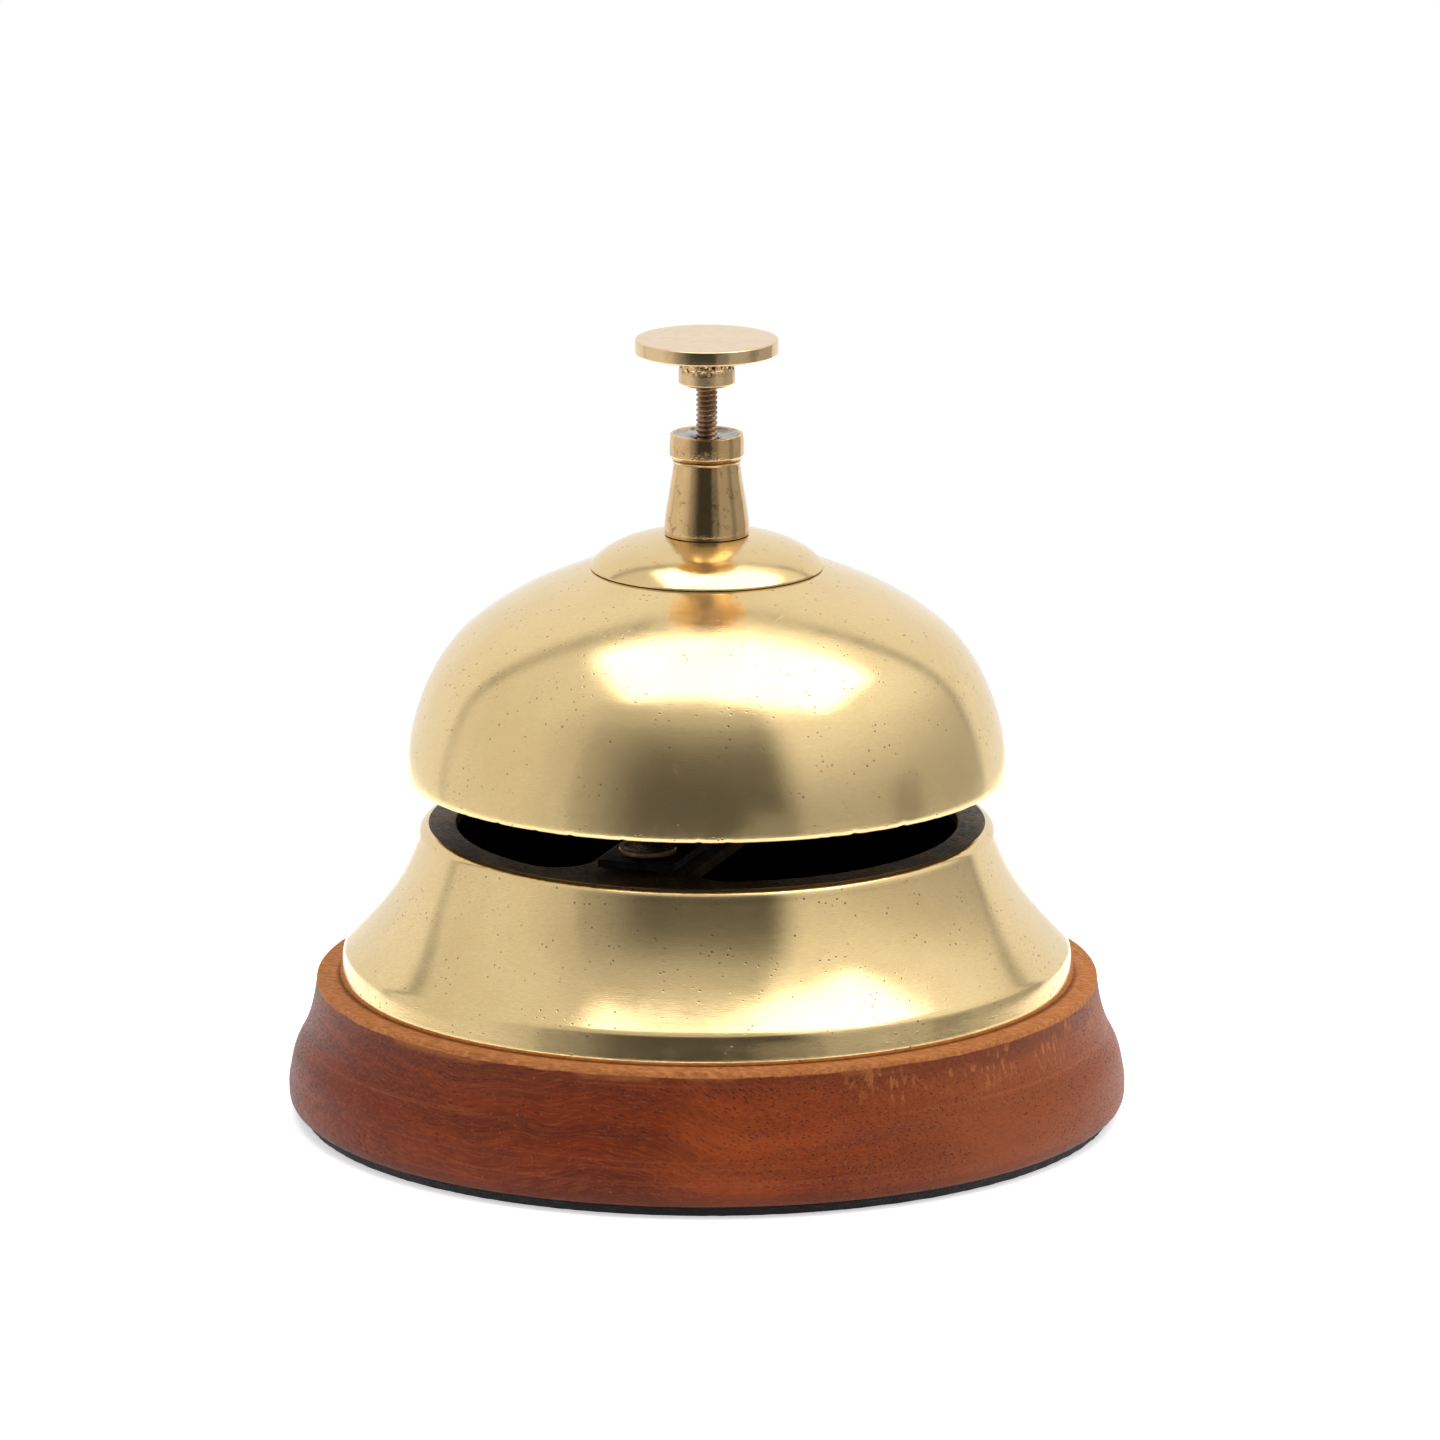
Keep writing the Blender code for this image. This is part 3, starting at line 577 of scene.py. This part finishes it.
def make_wood():
    low = floor_of("wooden_base")
    shoulder = bezier((60.85, 20.6), (62.44, 9.99), (64.29, 13.26), (65.08, 6.0), 26)
    top = rounded([(0, 23.0), (54.0, 23.0, 0.3), (54.0, RING_TOP), (60.75, RING_TOP, 0.45), (60.85, 20.6)],
                  closed=False)
    foot = [(65.15, 5.2), (65.15, 4.2), (65.12, 3.4), (65.0, 2.8), (64.75, 2.3), (64.4, 1.95),
            (64.0, low), (0, low)]

    def uneven(r, z, angle):
        if r < 58 or z < low + 0.2:
            return r, z
        spot = Vector((cos(angle) * 5, sin(angle) * 5, z * 0.2))
        nick = max(0.0, noise.noise(Vector((cos(angle) * 30, sin(angle) * 30, z * 1.5))) - 0.45)
        edge = 1.0 if z > 20.4 else 0.15
        return r + 0.06 * (noise.noise(spot) - 1) * (z > 6) - 0.35 * nick * edge, z

    base = lathe("wooden_base_turned", top + shoulder[1:] + foot, WOOD, 288, False, uneven)
    for x, y in screw_places():
        for radius, depth in ((SCREW_HOLE, 25.0), (4.7, 8.0)):
            drill = bar(radius, -1, depth, x, y, SMALL)
            boolean(base, drill, "DIFFERENCE")
    stand_for(base, "wooden_base")


def screw_places():
    return [centre_of(f"base_screw_{number}") for number in (1, 2, 3)]


def bar(radius, low, high, x=0.0, y=0.0, facets=32):
    """Upright round bar in millimetres, a tool for Boolean cuts."""
    outline = [(0, high), (radius, high), (radius, low), (0, low)]
    return lathe("bar", outline, None, facets, False, move=Matrix.Translation((x, y, 0)))


def skirt_outline():
    """Outer side of the skirt from the plate's lip down to its turned-under foot."""
    top = top_of("base_skirt")
    lip = arc((43.0, top - 1.8), 1.8, 90, 27, 10)
    flare = bezier((44.75, 44.4), (47.82, 36.03), (49.91, 33.03), (56.35, 26.25), 34)
    foot = bezier((56.35, 26.25), (56.62, 25.75), (56.78, 24.4), (57.1, 22.55), 14)[1:]
    return lip + flare + foot + [(57.12, 22.2), (57.08, RING_TOP + CONTACT)]


def extruded(outline, bottom, top):
    """Upright cutter from a flat outline in millimetres."""
    shape = bmesh.new()
    flat = shape.faces.new([shape.verts.new((x, y, bottom)) for x, y in outline])
    grown = bmesh.ops.extrude_face_region(shape, geom=[flat])
    raised = [part for part in grown["geom"] if isinstance(part, bmesh.types.BMVert)]
    bmesh.ops.translate(shape, verts=raised, vec=(0, 0, top - bottom))
    turn = Matrix.Rotation(STIRRUP_TURN, 4, "Z")
    bmesh.ops.transform(shape, matrix=turn, verts=shape.verts)
    return finish_mesh("cutter", shape, None)


def window_outline():
    """D-shaped window of the plate beside the bridge, anticlockwise, with rounded corners."""
    corner_x = HALF_BRIDGE + WINDOW_CORNER
    corner_y = sqrt((WINDOW_RADIUS - WINDOW_CORNER) ** 2 - corner_x ** 2)
    reach = degrees(atan2(corner_y, corner_x))
    return (arc((0, 0), WINDOW_RADIUS, -reach, reach, 72)
            + arc((corner_x, corner_y), WINDOW_CORNER, reach, 180, 18)[1:]
            + arc((corner_x, -corner_y), WINDOW_CORNER, 180, 360 - reach, 18)[:-1])


def make_skirt():
    outline = skirt_outline()
    top = top_of("base_skirt")
    ceiling = top - SKIRT_WALL
    inside = [point for point in inset(outline, SKIRT_WALL) if 24.0 < point[1] < ceiling - 0.4]
    lining = [(55.1, RING_TOP + CONTACT)] + inside[::-1] + [(41.8, ceiling), (0, ceiling)]
    skirt = lathe("base_skirt_cast", [(0, top)] + outline + lining, SKIRT_BRASS, SMOOTH, False)
    # the plate's top and the inside take the casting painted dark as shade under the gong
    skirt.data.materials.append(SHADE_DARK_CASTING)
    half_wall = [point for point in inset(outline, SKIRT_WALL / 2) if point[1] < ceiling]
    for x, y in screw_places():
        lug = bar(4.5, 23.3, 34.0, x, y, SMALL)
        core = lathe("core", [(0, ceiling)] + half_wall + [(0, RING_TOP)], None, 96, False)
        boolean(lug, core, "INTERSECT")
        boolean(skirt, lug, "UNION")
        boolean(skirt, bar(SCREW_HOLE, 20, 30.8, x, y), "DIFFERENCE")
    for side in (1, -1):
        outline_d = [(side * x, y) for x, y in window_outline()[::side]]
        boolean(skirt, extruded(outline_d, 40, 50), "DIFFERENCE")
    for number in (1, 2):
        boolean(skirt, bar(SCREW_HOLE, 40, 50, *centre_of(f"yoke_bolt_{number}")), "DIFFERENCE")
    mark_casting(skirt, top)
    soft_edges(skirt, 0.22, 2, 50).modifiers["soft_edges"].material = 0
    stand_for(skirt, "base_skirt")


def mark_casting(skirt, top):
    """Only the flared outside is polished; the plate's top and the inside stay raw, in the casting painted
    dark as shade.
    """
    for face in skirt.data.polygons:
        middle = face.center * 1000
        radius = hypot(middle.x, middle.y)
        outward = (face.normal.x * middle.x + face.normal.y * middle.y) / max(radius, 0.001)
        on_plate = middle.z > top - 0.06 and radius < 43.2
        inside = outward < -0.05 or radius < 42.9 or (face.normal.z < -0.8 and radius < 56)
        face.material_index = 1 if on_plate or inside else 0


make_felt()
make_wood()
make_skirt()


# ---- screws, nuts and washers --------------------------------------------------------------
def ring_piece(node, inner, finish, fillet=0.12, facets=SMALL):
    """A washer or an upright ring where its node lies."""
    low, high = floor_of(node), top_of(node)
    outer = radius_of(node)
    profile = rounded([(inner, high, fillet), (outer, high, fillet), (outer, low, fillet),
                       (inner, low, fillet)], steps=2)
    move = Matrix.Translation((*centre_of(node), 0))
    stand_for(lathe(node + "_turned", profile, finish, facets, move=move), node)


def hex_nut(node, corner, hole, turn=0.0, body="root"):
    """Chamfered hexagon nut, threaded hole left plain, standing on Z where its node lies."""
    low, high = floor_of(node), top_of(node)
    flat = corner * cos(pi / 6)
    chamfer = corner * 0.93
    facets = 72
    shape = bmesh.new()
    rows = []
    for step in range(facets):
        angle = 2 * pi * step / facets
        spread = (angle % (pi / 3)) - pi / 6
        across = flat / cos(spread)
        drop = max(0.0, across - chamfer) * 0.6 + 0.02
        rim = min(across, chamfer)
        radii = (hole, hole + 0.25, rim, across, across, rim, hole + 0.25, hole)
        heights = (high - 0.25, high, high, high - drop, low + drop, low, low, low + 0.25)
        rows.append([shape.verts.new((r * cos(angle), r * sin(angle), z)) for r, z in zip(radii, heights)])
    skin(shape, rows, around=True)
    x, y = centre_of(node)
    bmesh.ops.transform(shape, matrix=Matrix.Translation((x, y, 0)) @ Matrix.Rotation(turn, 4, "Z"),
                        verts=shape.verts)
    stand_for(finish_mesh(node + "_milled", shape, STEEL), node, body)


def make_hardware():
    for number in (1, 2, 3):
        ring_piece(f"base_washer_{number}", 2.3, STEEL)
        base_screw(f"base_screw_{number}")
    for number in (1, 2):
        ring_piece(f"yoke_washer_{number}", 2.3, STEEL)
        hex_nut(f"yoke_nut_{number}", 4.2, 2.3, STIRRUP_TURN)
        yoke_bolt(f"yoke_bolt_{number}")
    ring_piece("post_washer", 3.8, STEEL)
    hex_nut("post_nut", 6.3, 3.8, STIRRUP_TURN)
    hex_nut("gong_nut", 8.0, POST_HOLE)
    ring_piece("gong_seat_washer", POST_HOLE, LEATHER, 0.3)
    hex_nut("spring_retainer_nut", 3.5, 1.95, body="plunger")


def base_screw(node):
    low, high = floor_of(node), top_of(node)
    seat = low + 2.6
    profile = rounded([(0, high), (1.4, high, 0.1), (2.0, high - 0.8, 0.2), (2.0, seat, 0.1),
                       (3.9, seat, 0.15), (3.9, seat - 1.3, 0.5), (3.0, low, 0.7), (0, low)], closed=False)
    move = Matrix.Translation((*centre_of(node), 0))
    screw = lathe(node + "_turned", profile, STEEL, SMALL, False, move=move)
    slot = bmesh.new()
    bmesh.ops.create_cube(slot, size=1.0, matrix=move @ Matrix.Translation((0, 0, low)) @
                          Matrix.Diagonal((12, 0.9, 2.2, 1)))
    boolean(screw, finish_mesh("slot", slot, None), "DIFFERENCE")
    stand_for(soft_edges(screw, 0.08, 1), node)


def yoke_bolt(node):
    """Flat round head with a bright turned rim; only this end is ever seen."""
    low, high = floor_of(node), top_of(node)
    radius = radius_of(node)
    seat = high - 0.9
    profile = rounded([(0, high - 0.12), (radius - 1.1, high - 0.12, 0.3), (radius - 0.7, high, 0.15),
                       (radius - 0.15, high, 0.12), (radius, high - 0.25, 0.1), (radius, seat, 0.1),
                       (2.0, seat), (2.0, low + 0.6, 0.1), (1.5, low), (0, low)], closed=False)
    move = Matrix.Translation((*centre_of(node), 0))
    stand_for(lathe(node + "_turned", profile, PATINA, SMALL, False, move=move), node)


make_hardware()


# ---- post, gong, cap and collar ------------------------------------------------------------
def gong_outline():
    """Outer side of the gong from the edge of its flat crown down to its rim."""
    shoulder = bezier((18.3, 86.3), (28.2, 82.9), (38.0, 77.9), (42.3, 70.0), 40)
    wall = bezier((42.3, 70.0), (44.9, 65.2), (46.6, 59.4), (46.95, 54.5), 24)
    return [(16.8, 86.4)] + shoulder + wall[1:]


def make_gong():
    low, high = floor_of("gong"), top_of("gong")
    outline = gong_outline()
    inner = inset(outline, GONG_WALL)
    lip = rounded([(46.95, low + 0.5), (46.9, low, 0.3), (45.2, low, 0.4), inner[-1]], closed=False)
    profile = [(POST_HOLE, high)] + outline + lip + inner[:-1][::-1]
    profile.append((POST_HOLE, high - GONG_WALL))

    def hand_finished(r, z, angle):
        """The rim is a little wavy, and ground unevenly."""
        depth = max(0.0, 1.0 - (z - low) / 1.6)
        if depth <= 0:
            return r, z
        slow = noise.noise(Vector((cos(angle) * 2.5, sin(angle) * 2.5, 0.3)))
        quick = noise.noise(Vector((cos(angle) * 24, sin(angle) * 24, 7.1)))
        chip = max(0.0, noise.noise(Vector((cos(angle) * 60, sin(angle) * 60, 2.7))) - 0.28)
        lift = 0.13 * (slow + 1) * 0.5 + 0.10 * (quick + 1) * 0.5 + 0.45 * chip
        return r - 0.15 * chip * depth, z + lift * depth

    gong = lathe("gong_spun", profile, POLISHED, 480, True, hand_finished)
    gong.data.materials.append(GONG_INSIDE)
    for face in gong.data.polygons:
        middle = face.center * 1000
        reach = hypot(middle.x, middle.y)
        outward = face.normal.x * middle.x + face.normal.y * middle.y
        within = outward < 0 and face.normal.z < 0.3 and reach < 46.6
        face.material_index = 1 if within or (face.normal.z < -0.5 and reach < 45) else 0
    stand_for(gong, "gong")


def make_cap():
    """Spun cap: a flat crown and a round shoulder whose edge lies on the gong."""
    low, high = floor_of("dome_cap"), top_of("dome_cap")
    edge = radius_of("dome_cap")
    seat = top_of("gong") + CONTACT
    crown = bezier((6.2, high), (7.4, high), (8.6, 91.28), (9.5, 91.05), 5)[:-1]
    dome = bezier((9.5, 91.05), (12.7, 90.4), (15.9, 89.25), (edge, 86.75), 30)
    inner = [point for point in inset(dome, CAP_WALL) if point[1] > low + 0.4]
    rim = [dome[-1], (edge, seat + 0.05), (edge - 0.06, seat), (edge - 1.2, seat), inner[-1]]
    profile = [(POST_HOLE, high)] + crown + dome[:-1] + rim + inner[:-1][::-1]
    profile.append((POST_HOLE, high - CAP_WALL))
    stand_for(lathe("dome_cap_spun", profile, POLISHED, SMOOTH), "dome_cap")


def make_collar():
    low, high = floor_of("collar"), top_of("collar")
    foot_low = top_of("dome_cap") + 3 * CONTACT
    head = rounded([(5.15, high - 0.06, 0.05), (5.4, high, 0.06), (5.62, high - 0.12, 0.08),
                    (5.76, high - 1.6, 0.8), (5.73, high - 3.3, 0.3), (5.52, high - 3.82, 0.15),
                    (5.18, high - 3.95, 0.05)], closed=False)
    bead = rounded([(5.18, high - 3.95), (5.26, high - 4.1, 0.1), (5.24, high - 4.3, 0.1),
                    (5.12, high - 4.45)], closed=False, steps=3)
    taper = bezier((5.12, high - 4.45), (5.28, 101.0), (6.10, 96.6), (6.45, 94.0), 18)
    foot = [(6.45, 94.0), (6.54, 93.0), (6.56, 92.4), (6.52, foot_low), (POST_HOLE, foot_low)]
    inner = [(POST_HOLE, 96.5), (3.95, 96.5), (3.95, 103.7), (2.15, 103.7), (2.15, 106.4)]

    def recess_and_bead(r, z, angle):
        """The recess is roughly filled, and the bead wanders a little round the neck."""
        if r < 5.2 and z > 106.0:
            bump = noise.noise(Vector((r * cos(angle) * 1.3, r * sin(angle) * 1.3, 4.0)))
            return r, min(z + 0.16 * bump, high - 0.04)
        near = max(0.0, 1.0 - abs(z - (high - 4.1)) / 0.9)
        return r, z + 0.14 * near * noise.noise(Vector((cos(angle) * 1.7, sin(angle) * 1.7, 8.0)))

    recess = [(2.4, 106.75), (3.3, 106.95), (4.2, 107.0), (4.95, 107.05), (5.1, high - 0.2)]
    profile = head + bead[1:-1] + taper[:-1] + foot + inner + recess
    collar = lathe("collar_turned", profile, COLLAR_BRASS, 128, True, recess_and_bead)
    collar.data.materials.append(SOLDERED)
    for face in collar.data.polygons:
        middle = face.center * 1000
        reach = hypot(middle.x, middle.y)
        face.material_index = 1 if reach < 5.08 and middle.z > 106.3 else 0
    stand_for(collar, "collar")


def make_post():
    low, high = floor_of("centre_post"), top_of("centre_post")
    shoulder, roof, seat = 82.6, 78.1, 82.0
    profile = rounded([(4.5, high, 0.3), (4.5, shoulder, 0.15), (6.5, shoulder, 0.3), (6.5, roof, 0.3),
                       (3.5, roof, 0.1), (3.5, low, 0.35), (1.95, low, 0.2), (1.95, seat), (3.4, seat),
                       (3.4, high, 0.2)])
    stand_for(lathe("centre_post_turned", profile, STEEL, SMALL), "centre_post")


make_gong()
make_cap()
make_collar()
make_post()


# ---- plunger -------------------------------------------------------------------------------
def make_stem():
    """Machine-screw stem: a real helical thread above, a plain round tip below."""
    low, high = floor_of("plunger_rod"), top_of("plunger_rod")
    crest, depth, pitch = radius_of("plunger_rod"), 0.30, 0.79
    start, facets = high - 20.0, 48
    rows_per_turn = 12
    shape = bmesh.new()
    rows = []
    tip = arc((0, low + crest), crest, -90, 0, 8)
    plain = [(max(r, 0.0001), z) for r, z in tip] + [(crest, start - 1.0)]
    count = int((high - start) / pitch * rows_per_turn)
    heights = [start + (high - start) * step / count for step in range(count + 1)]
    for radius, height in plain:
        rows.append([(radius, height)] * facets)
    for height in heights:
        fade = min(1.0, (height - start) / 0.8, max(0.0, (high - height) / 0.5))
        row = []
        for step in range(facets):
            phase = (height / pitch - step / facets) % 1.0
            valley = min(1.0, abs(phase - 0.5) * 2.6)
            row.append((crest - depth * fade * (1.0 - min(1.0, valley * 1.05)), height))
        rows.append(row)
    rows.append([(crest - 0.25, high)] * facets)
    rings = []
    for row in rows:
        rings.append([shape.verts.new((radius * cos(2 * pi * step / facets),
                                       radius * sin(2 * pi * step / facets), height))
                      for step, (radius, height) in enumerate(row)])
    skin(shape, rings)
    shape.faces.new(rings[-1])
    shape.faces.new(rings[0][::-1])
    stand_for(finish_mesh("plunger_rod_threaded", shape, PATINA), "plunger_rod", "plunger")


def make_button():
    low, high = floor_of("button_hub"), top_of("button_hub")
    radius = radius_of("button_hub")
    profile = rounded([(0, high), (radius - 0.1, high, 0.1), (radius - 0.05, high - 0.9),
                       (radius, high - 1.9, 0.3), (radius, low + 0.3, 0.2), (radius - 0.3, low, 0.15),
                       (1.95, low, 0.1), (1.95, high - 0.9), (0, high - 0.9)], closed=False)
    dense = subdivide(profile, 0.12)

    def brazing(r, z, angle):
        """Rough braze in the upper half of the boss."""
        if r < radius - 0.6 or z < high - 2.7:
            return r, z
        spot = Vector((cos(angle) * 4.5, sin(angle) * 4.5, z * 1.4))
        lump = noise.noise(spot) + 0.6 * noise.noise(spot * 2.7)
        pit = max(0.0, noise.noise(spot * 1.9 + Vector((9, 2, 4))) - 0.18)
        fade = min(1.0, (z - (high - 2.7)) / 0.5)
        return min(r - fade * (0.08 - 0.06 * lump + 0.40 * pit), radius), z

    hub = lathe("button_hub_turned", dense, BRAZED, 160, False, brazing)
    stand_for(hub, "button_hub", "plunger")
    low, high = floor_of("button_disc"), top_of("button_disc")
    radius = radius_of("button_disc")
    profile = rounded([(0, high - 0.02), (radius, high, 0.28), (radius, low, 0.22), (0, low)],
                      closed=False, steps=6)
    stand_for(lathe("button_disc_turned", subdivide(profile, 1.2), SATIN, SMOOTH, False), "button_disc",
              "plunger")


def subdivide(profile, longest):
    """Add points so that no stretch of the outline is longer than the limit."""
    dense = [profile[0]]
    for start, end in zip(profile, profile[1:]):
        pieces = max(1, int(hypot(end[0] - start[0], end[1] - start[1]) / longest))
        for step in range(1, pieces + 1):
            t = step / pieces
            dense.append((start[0] + (end[0] - start[0]) * t, start[1] + (end[1] - start[1]) * t))
    return dense


def make_spring():
    low, high = floor_of("return_spring"), top_of("return_spring")
    wire, coil, turns, steps, sides = 0.3, 2.6, 9.5, 30, 10
    shape = bmesh.new()
    rings = []
    count = int(turns * steps)
    travel = high - low - 2 * wire
    for index in range(count + 1):
        t = index / count
        angle = 2 * pi * index / steps
        lead = travel * (0.03 * min(t / 0.1, 1) + 0.94 * min(max((t - 0.1) / 0.8, 0), 1)
                         + 0.03 * max((t - 0.9) / 0.1, 0))
        ring = []
        for side in range(sides):
            tilt = 2 * pi * side / sides
            reach = coil + wire * cos(tilt)
            ring.append(shape.verts.new((reach * cos(angle), reach * sin(angle),
                                         low + wire + lead + wire * sin(tilt))))
        rings.append(ring)
    skin(shape, rings)
    shape.faces.new(rings[0])
    shape.faces.new(rings[-1])
    spring = finish_mesh("return_spring_coil", shape, STEEL)
    stand_for(spring, "return_spring")
    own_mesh(spring)


make_stem()
make_button()
make_spring()


# ---- carried-over CAD pieces ---------------------------------------------------------------
def refinish(node, finish, width):
    """Give a CAD node its material and soft edges."""
    piece = frame["nodes"][node]
    piece.data.materials.clear()
    piece.data.materials.append(finish)
    soft_edges(piece, width, 2, 35)


# the yoke bracket takes the near-black steel that is painted shade
for node, finish, width in (("yoke_bracket", SHADE_BLACK_STEEL, 0.18), ("hammer_lever", STEEL, 0.12),
                            ("hammer_nut", STEEL, 0.1), ("pivot_pin", STEEL, 0.2),
                            ("pivot_clip_1", STEEL, 0.1), ("pivot_clip_2", STEEL, 0.1)):
    refinish(node, finish, width)


# ---- rocker pieces that are turned ---------------------------------------------------------
def pivot_matrix():
    """Place of the rocker's pin: X away from the stem, Y along the pin."""
    joint = [joint for joint in frame["joints"] if joint["name"] == "hammer_swing"][0]
    return Matrix.Translation(Vector(joint["pos_m"]) * 1000) @ Matrix.Rotation(STIRRUP_TURN, 4, "Z")


def make_rocker_pieces():
    pivot = pivot_matrix()
    lever = pivot @ Matrix.Rotation(LEVER_TILT, 4, "Y")
    seat, radius, stud = 1.05, 3.2, 1.0
    middle = seat + 2.0
    ball = arc((0, middle), radius, 90, -32, 22)
    profile = [(0, ball[0][1])] + ball[1:] + [(ball[-1][0], seat), (stud, seat), (stud, -3.1),
                                               (stud - 0.2, -3.3), (0, -3.3)]
    head = lathe("hammer_head_turned", profile, SATIN, SMALL, False,
                 move=lever @ Matrix.Translation((HAMMER_ARM, 0, 0)))
    stand_for(head, "hammer_head", "rocker")
    sideways = pivot @ Matrix.Rotation(radians(90), 4, "X")
    for number, low, high in ((1, 4.3, 11.5), (2, -11.5, -4.3)):
        profile = rounded([(1.8, high, 0.15), (2.7, high, 0.15), (2.7, low, 0.15), (1.8, low, 0.15)])
        spacer = lathe(f"pivot_spacer_{number}_turned", profile, SATIN, SMALL, move=sideways)
        stand_for(spacer, f"pivot_spacer_{number}")


make_rocker_pieces()


# ---- floor, light and camera ---------------------------------------------------------------
def make_floor():
    """Pale floor a hair below the felt, with a faint glow that thins the bell's shadow."""
    shape = bmesh.new()
    bmesh.ops.create_circle(shape, cap_ends=True, segments=128, radius=330,
                            matrix=Matrix.Translation((0, 0, -0.05)))
    floor = finish_mesh("studio_floor", shape, None)
    s = Shader("studio_white")
    soft = s.noise(s.place, 3, 2)
    floor.data.materials.append(s.finish(s.mix(soft, (0.86, 0.86, 0.865), (0.88, 0.88, 0.885)), 0.9,
                                         Specular_IOR_Level=0.0, Emission_Color=(0.97, 0.98, 1.0, 1.0),
                                         Emission_Strength=0.50))
    floor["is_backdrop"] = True


class Sky:
    """World shader in code; azimuth 0 is toward the camera, in degrees, rising to the right."""

    def __init__(self):
        world = bpy.data.worlds.new("studio")
        bpy.context.scene.world = world
        world.use_nodes = True
        self.tree = world.node_tree
        self.background = self.tree.nodes["Background"]
        parts = self.node("ShaderNodeSeparateXYZ")
        self.tree.links.new(self.node("ShaderNodeTexCoord").outputs["Generated"], parts.inputs[0])
        self.x, self.y, self.z = parts.outputs
        turn = self.calc("ARCTAN2", self.x, self.calc("MULTIPLY", self.y, -1.0))
        self.azimuth = self.calc("MULTIPLY", turn, 180 / pi)
        self.elevation = self.calc("MULTIPLY", self.calc("ARCSINE", self.z), 180 / pi)

    def node(self, kind):
        return self.tree.nodes.new(kind)

    def calc(self, operation, first, second=0.0):
        made = self.node("ShaderNodeMath")
        made.operation = operation
        for value, target in zip((first, second), made.inputs):
            if isinstance(value, bpy.types.NodeSocket):
                self.tree.links.new(value, target)
            else:
                target.default_value = value
        return made.outputs[0]

    def add(self, first, *others):
        for other in others:
            first = self.calc("ADD", first, other)
        return first

    def times(self, first, *others):
        for other in others:
            first = self.calc("MULTIPLY", first, other)
        return first

    def step(self, value, low, high, to_low=0.0, to_high=1.0):
        made = self.node("ShaderNodeMapRange")
        made.interpolation_type = "SMOOTHSTEP"
        self.tree.links.new(value, made.inputs["Value"])
        for key, number in (("From Min", low), ("From Max", high), ("To Min", to_low), ("To Max", to_high)):
            made.inputs[key].default_value = number
        return made.outputs["Result"]

    def blend(self, factor, first, second):
        """First where the factor is 0, second where it is 1."""
        return self.add(self.times(self.calc("SUBTRACT", 1.0, factor), first), self.times(factor, second))


def make_world():
    """Photographer's room: dark behind the camera, pale walls, a white sweep and a light overhead."""
    sky = Sky()
    azimuth, elevation = sky.azimuth, sky.elevation
    ahead = sky.add(sky.step(elevation, 14, 34, 0.06, 0.13), sky.step(elevation, 28, 58, 0.0, 0.50),
                    sky.step(elevation, 56, 78, 0.0, 0.70))
    left = sky.add(sky.step(azimuth, -78, -54, 0.86, 0.66), sky.step(elevation, 58, 76, 0.0, 0.50))
    right = sky.add(sky.step(elevation, 2, 44, 0.48, 1.12), sky.step(elevation, 44, 58, 0.0, 0.35))
    walls = sky.blend(sky.step(sky.x, -0.2, 0.3), left, right)
    past_left = sky.add(sky.step(azimuth, -52, -56, 0.0, 0.3), sky.step(azimuth, -20, -58, 0.0, 0.7))
    past_right = sky.step(azimuth, 24, 42)
    table_edge = sky.times(sky.step(azimuth, 12, 19, 0.0, 0.45), sky.step(elevation, 9, 5))
    past_right = sky.calc("MAXIMUM", past_right, table_edge)
    inside = sky.times(sky.calc("SUBTRACT", 1.0, past_left), sky.calc("SUBTRACT", 1.0, past_right))
    level = sky.blend(inside, walls, ahead)

    high = sky.times(sky.z, sky.z, 0.14)
    lean = sky.times(sky.calc("MINIMUM", sky.x, 0.0), -0.15)
    edge = sky.add(sky.y, -0.62, high, lean)
    level = sky.blend(sky.step(edge, -0.02, 0.02), level, BACKDROP)
    gap = sky.times(sky.step(sky.calc("ABSOLUTE", edge), 0.055, 0.015),
                    sky.step(elevation, 0, 40, 0.25, 0.55))
    stand = sky.times(sky.step(azimuth, 70, 78), sky.step(azimuth, 92, 86),
                      sky.step(elevation, 13, 6, 0.0, 0.35))
    level = sky.times(level, sky.calc("SUBTRACT", 1.0, sky.calc("MAXIMUM", gap, stand)))

    rise = sky.calc("MAXIMUM", sky.z, 0.3)
    east, north = sky.calc("DIVIDE", sky.x, rise), sky.calc("DIVIDE", sky.y, rise)
    near = sky.add(north, sky.step(east, -0.1, 0.3, 0.0, 0.10))
    lamp = sky.times(sky.step(east, -0.52, -0.38), sky.step(east, 0.92, 0.78),
                     sky.step(near, -0.36, -0.22), sky.step(north, 0.46, 0.34))
    level = sky.blend(lamp, level, OVERHEAD)

    camera = sky.node("ShaderNodeLightPath").outputs["Is Camera Ray"]
    sky.tree.links.new(sky.blend(camera, level, 1.0), sky.background.inputs["Strength"])
    sky.background.inputs["Color"].default_value = (1.0, 1.0, 1.0, 1.0)


def make_camera():
    """Long lens, a little above the bell and looking slightly down."""
    data = bpy.data.cameras.new("camera")
    data.lens = 281.3
    data.sensor_width = 36.0
    data.clip_end = 50.0
    camera = bpy.data.objects.new("camera", data)
    camera.location = (0.0, -1.6956, 0.4661)
    camera.rotation_euler = (pi / 2 - 0.2340, 0.0, -0.0012)
    bpy.context.scene.collection.objects.link(camera)
    bpy.context.scene.camera = camera


make_floor()
make_world()
make_camera()
bpy.context.scene.view_settings.view_transform = "Standard"

boxes = {"cad": cad_box, "visual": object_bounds()}
{name: [[float(v) for v in corner] for corner in box] for name, box in boxes.items()}
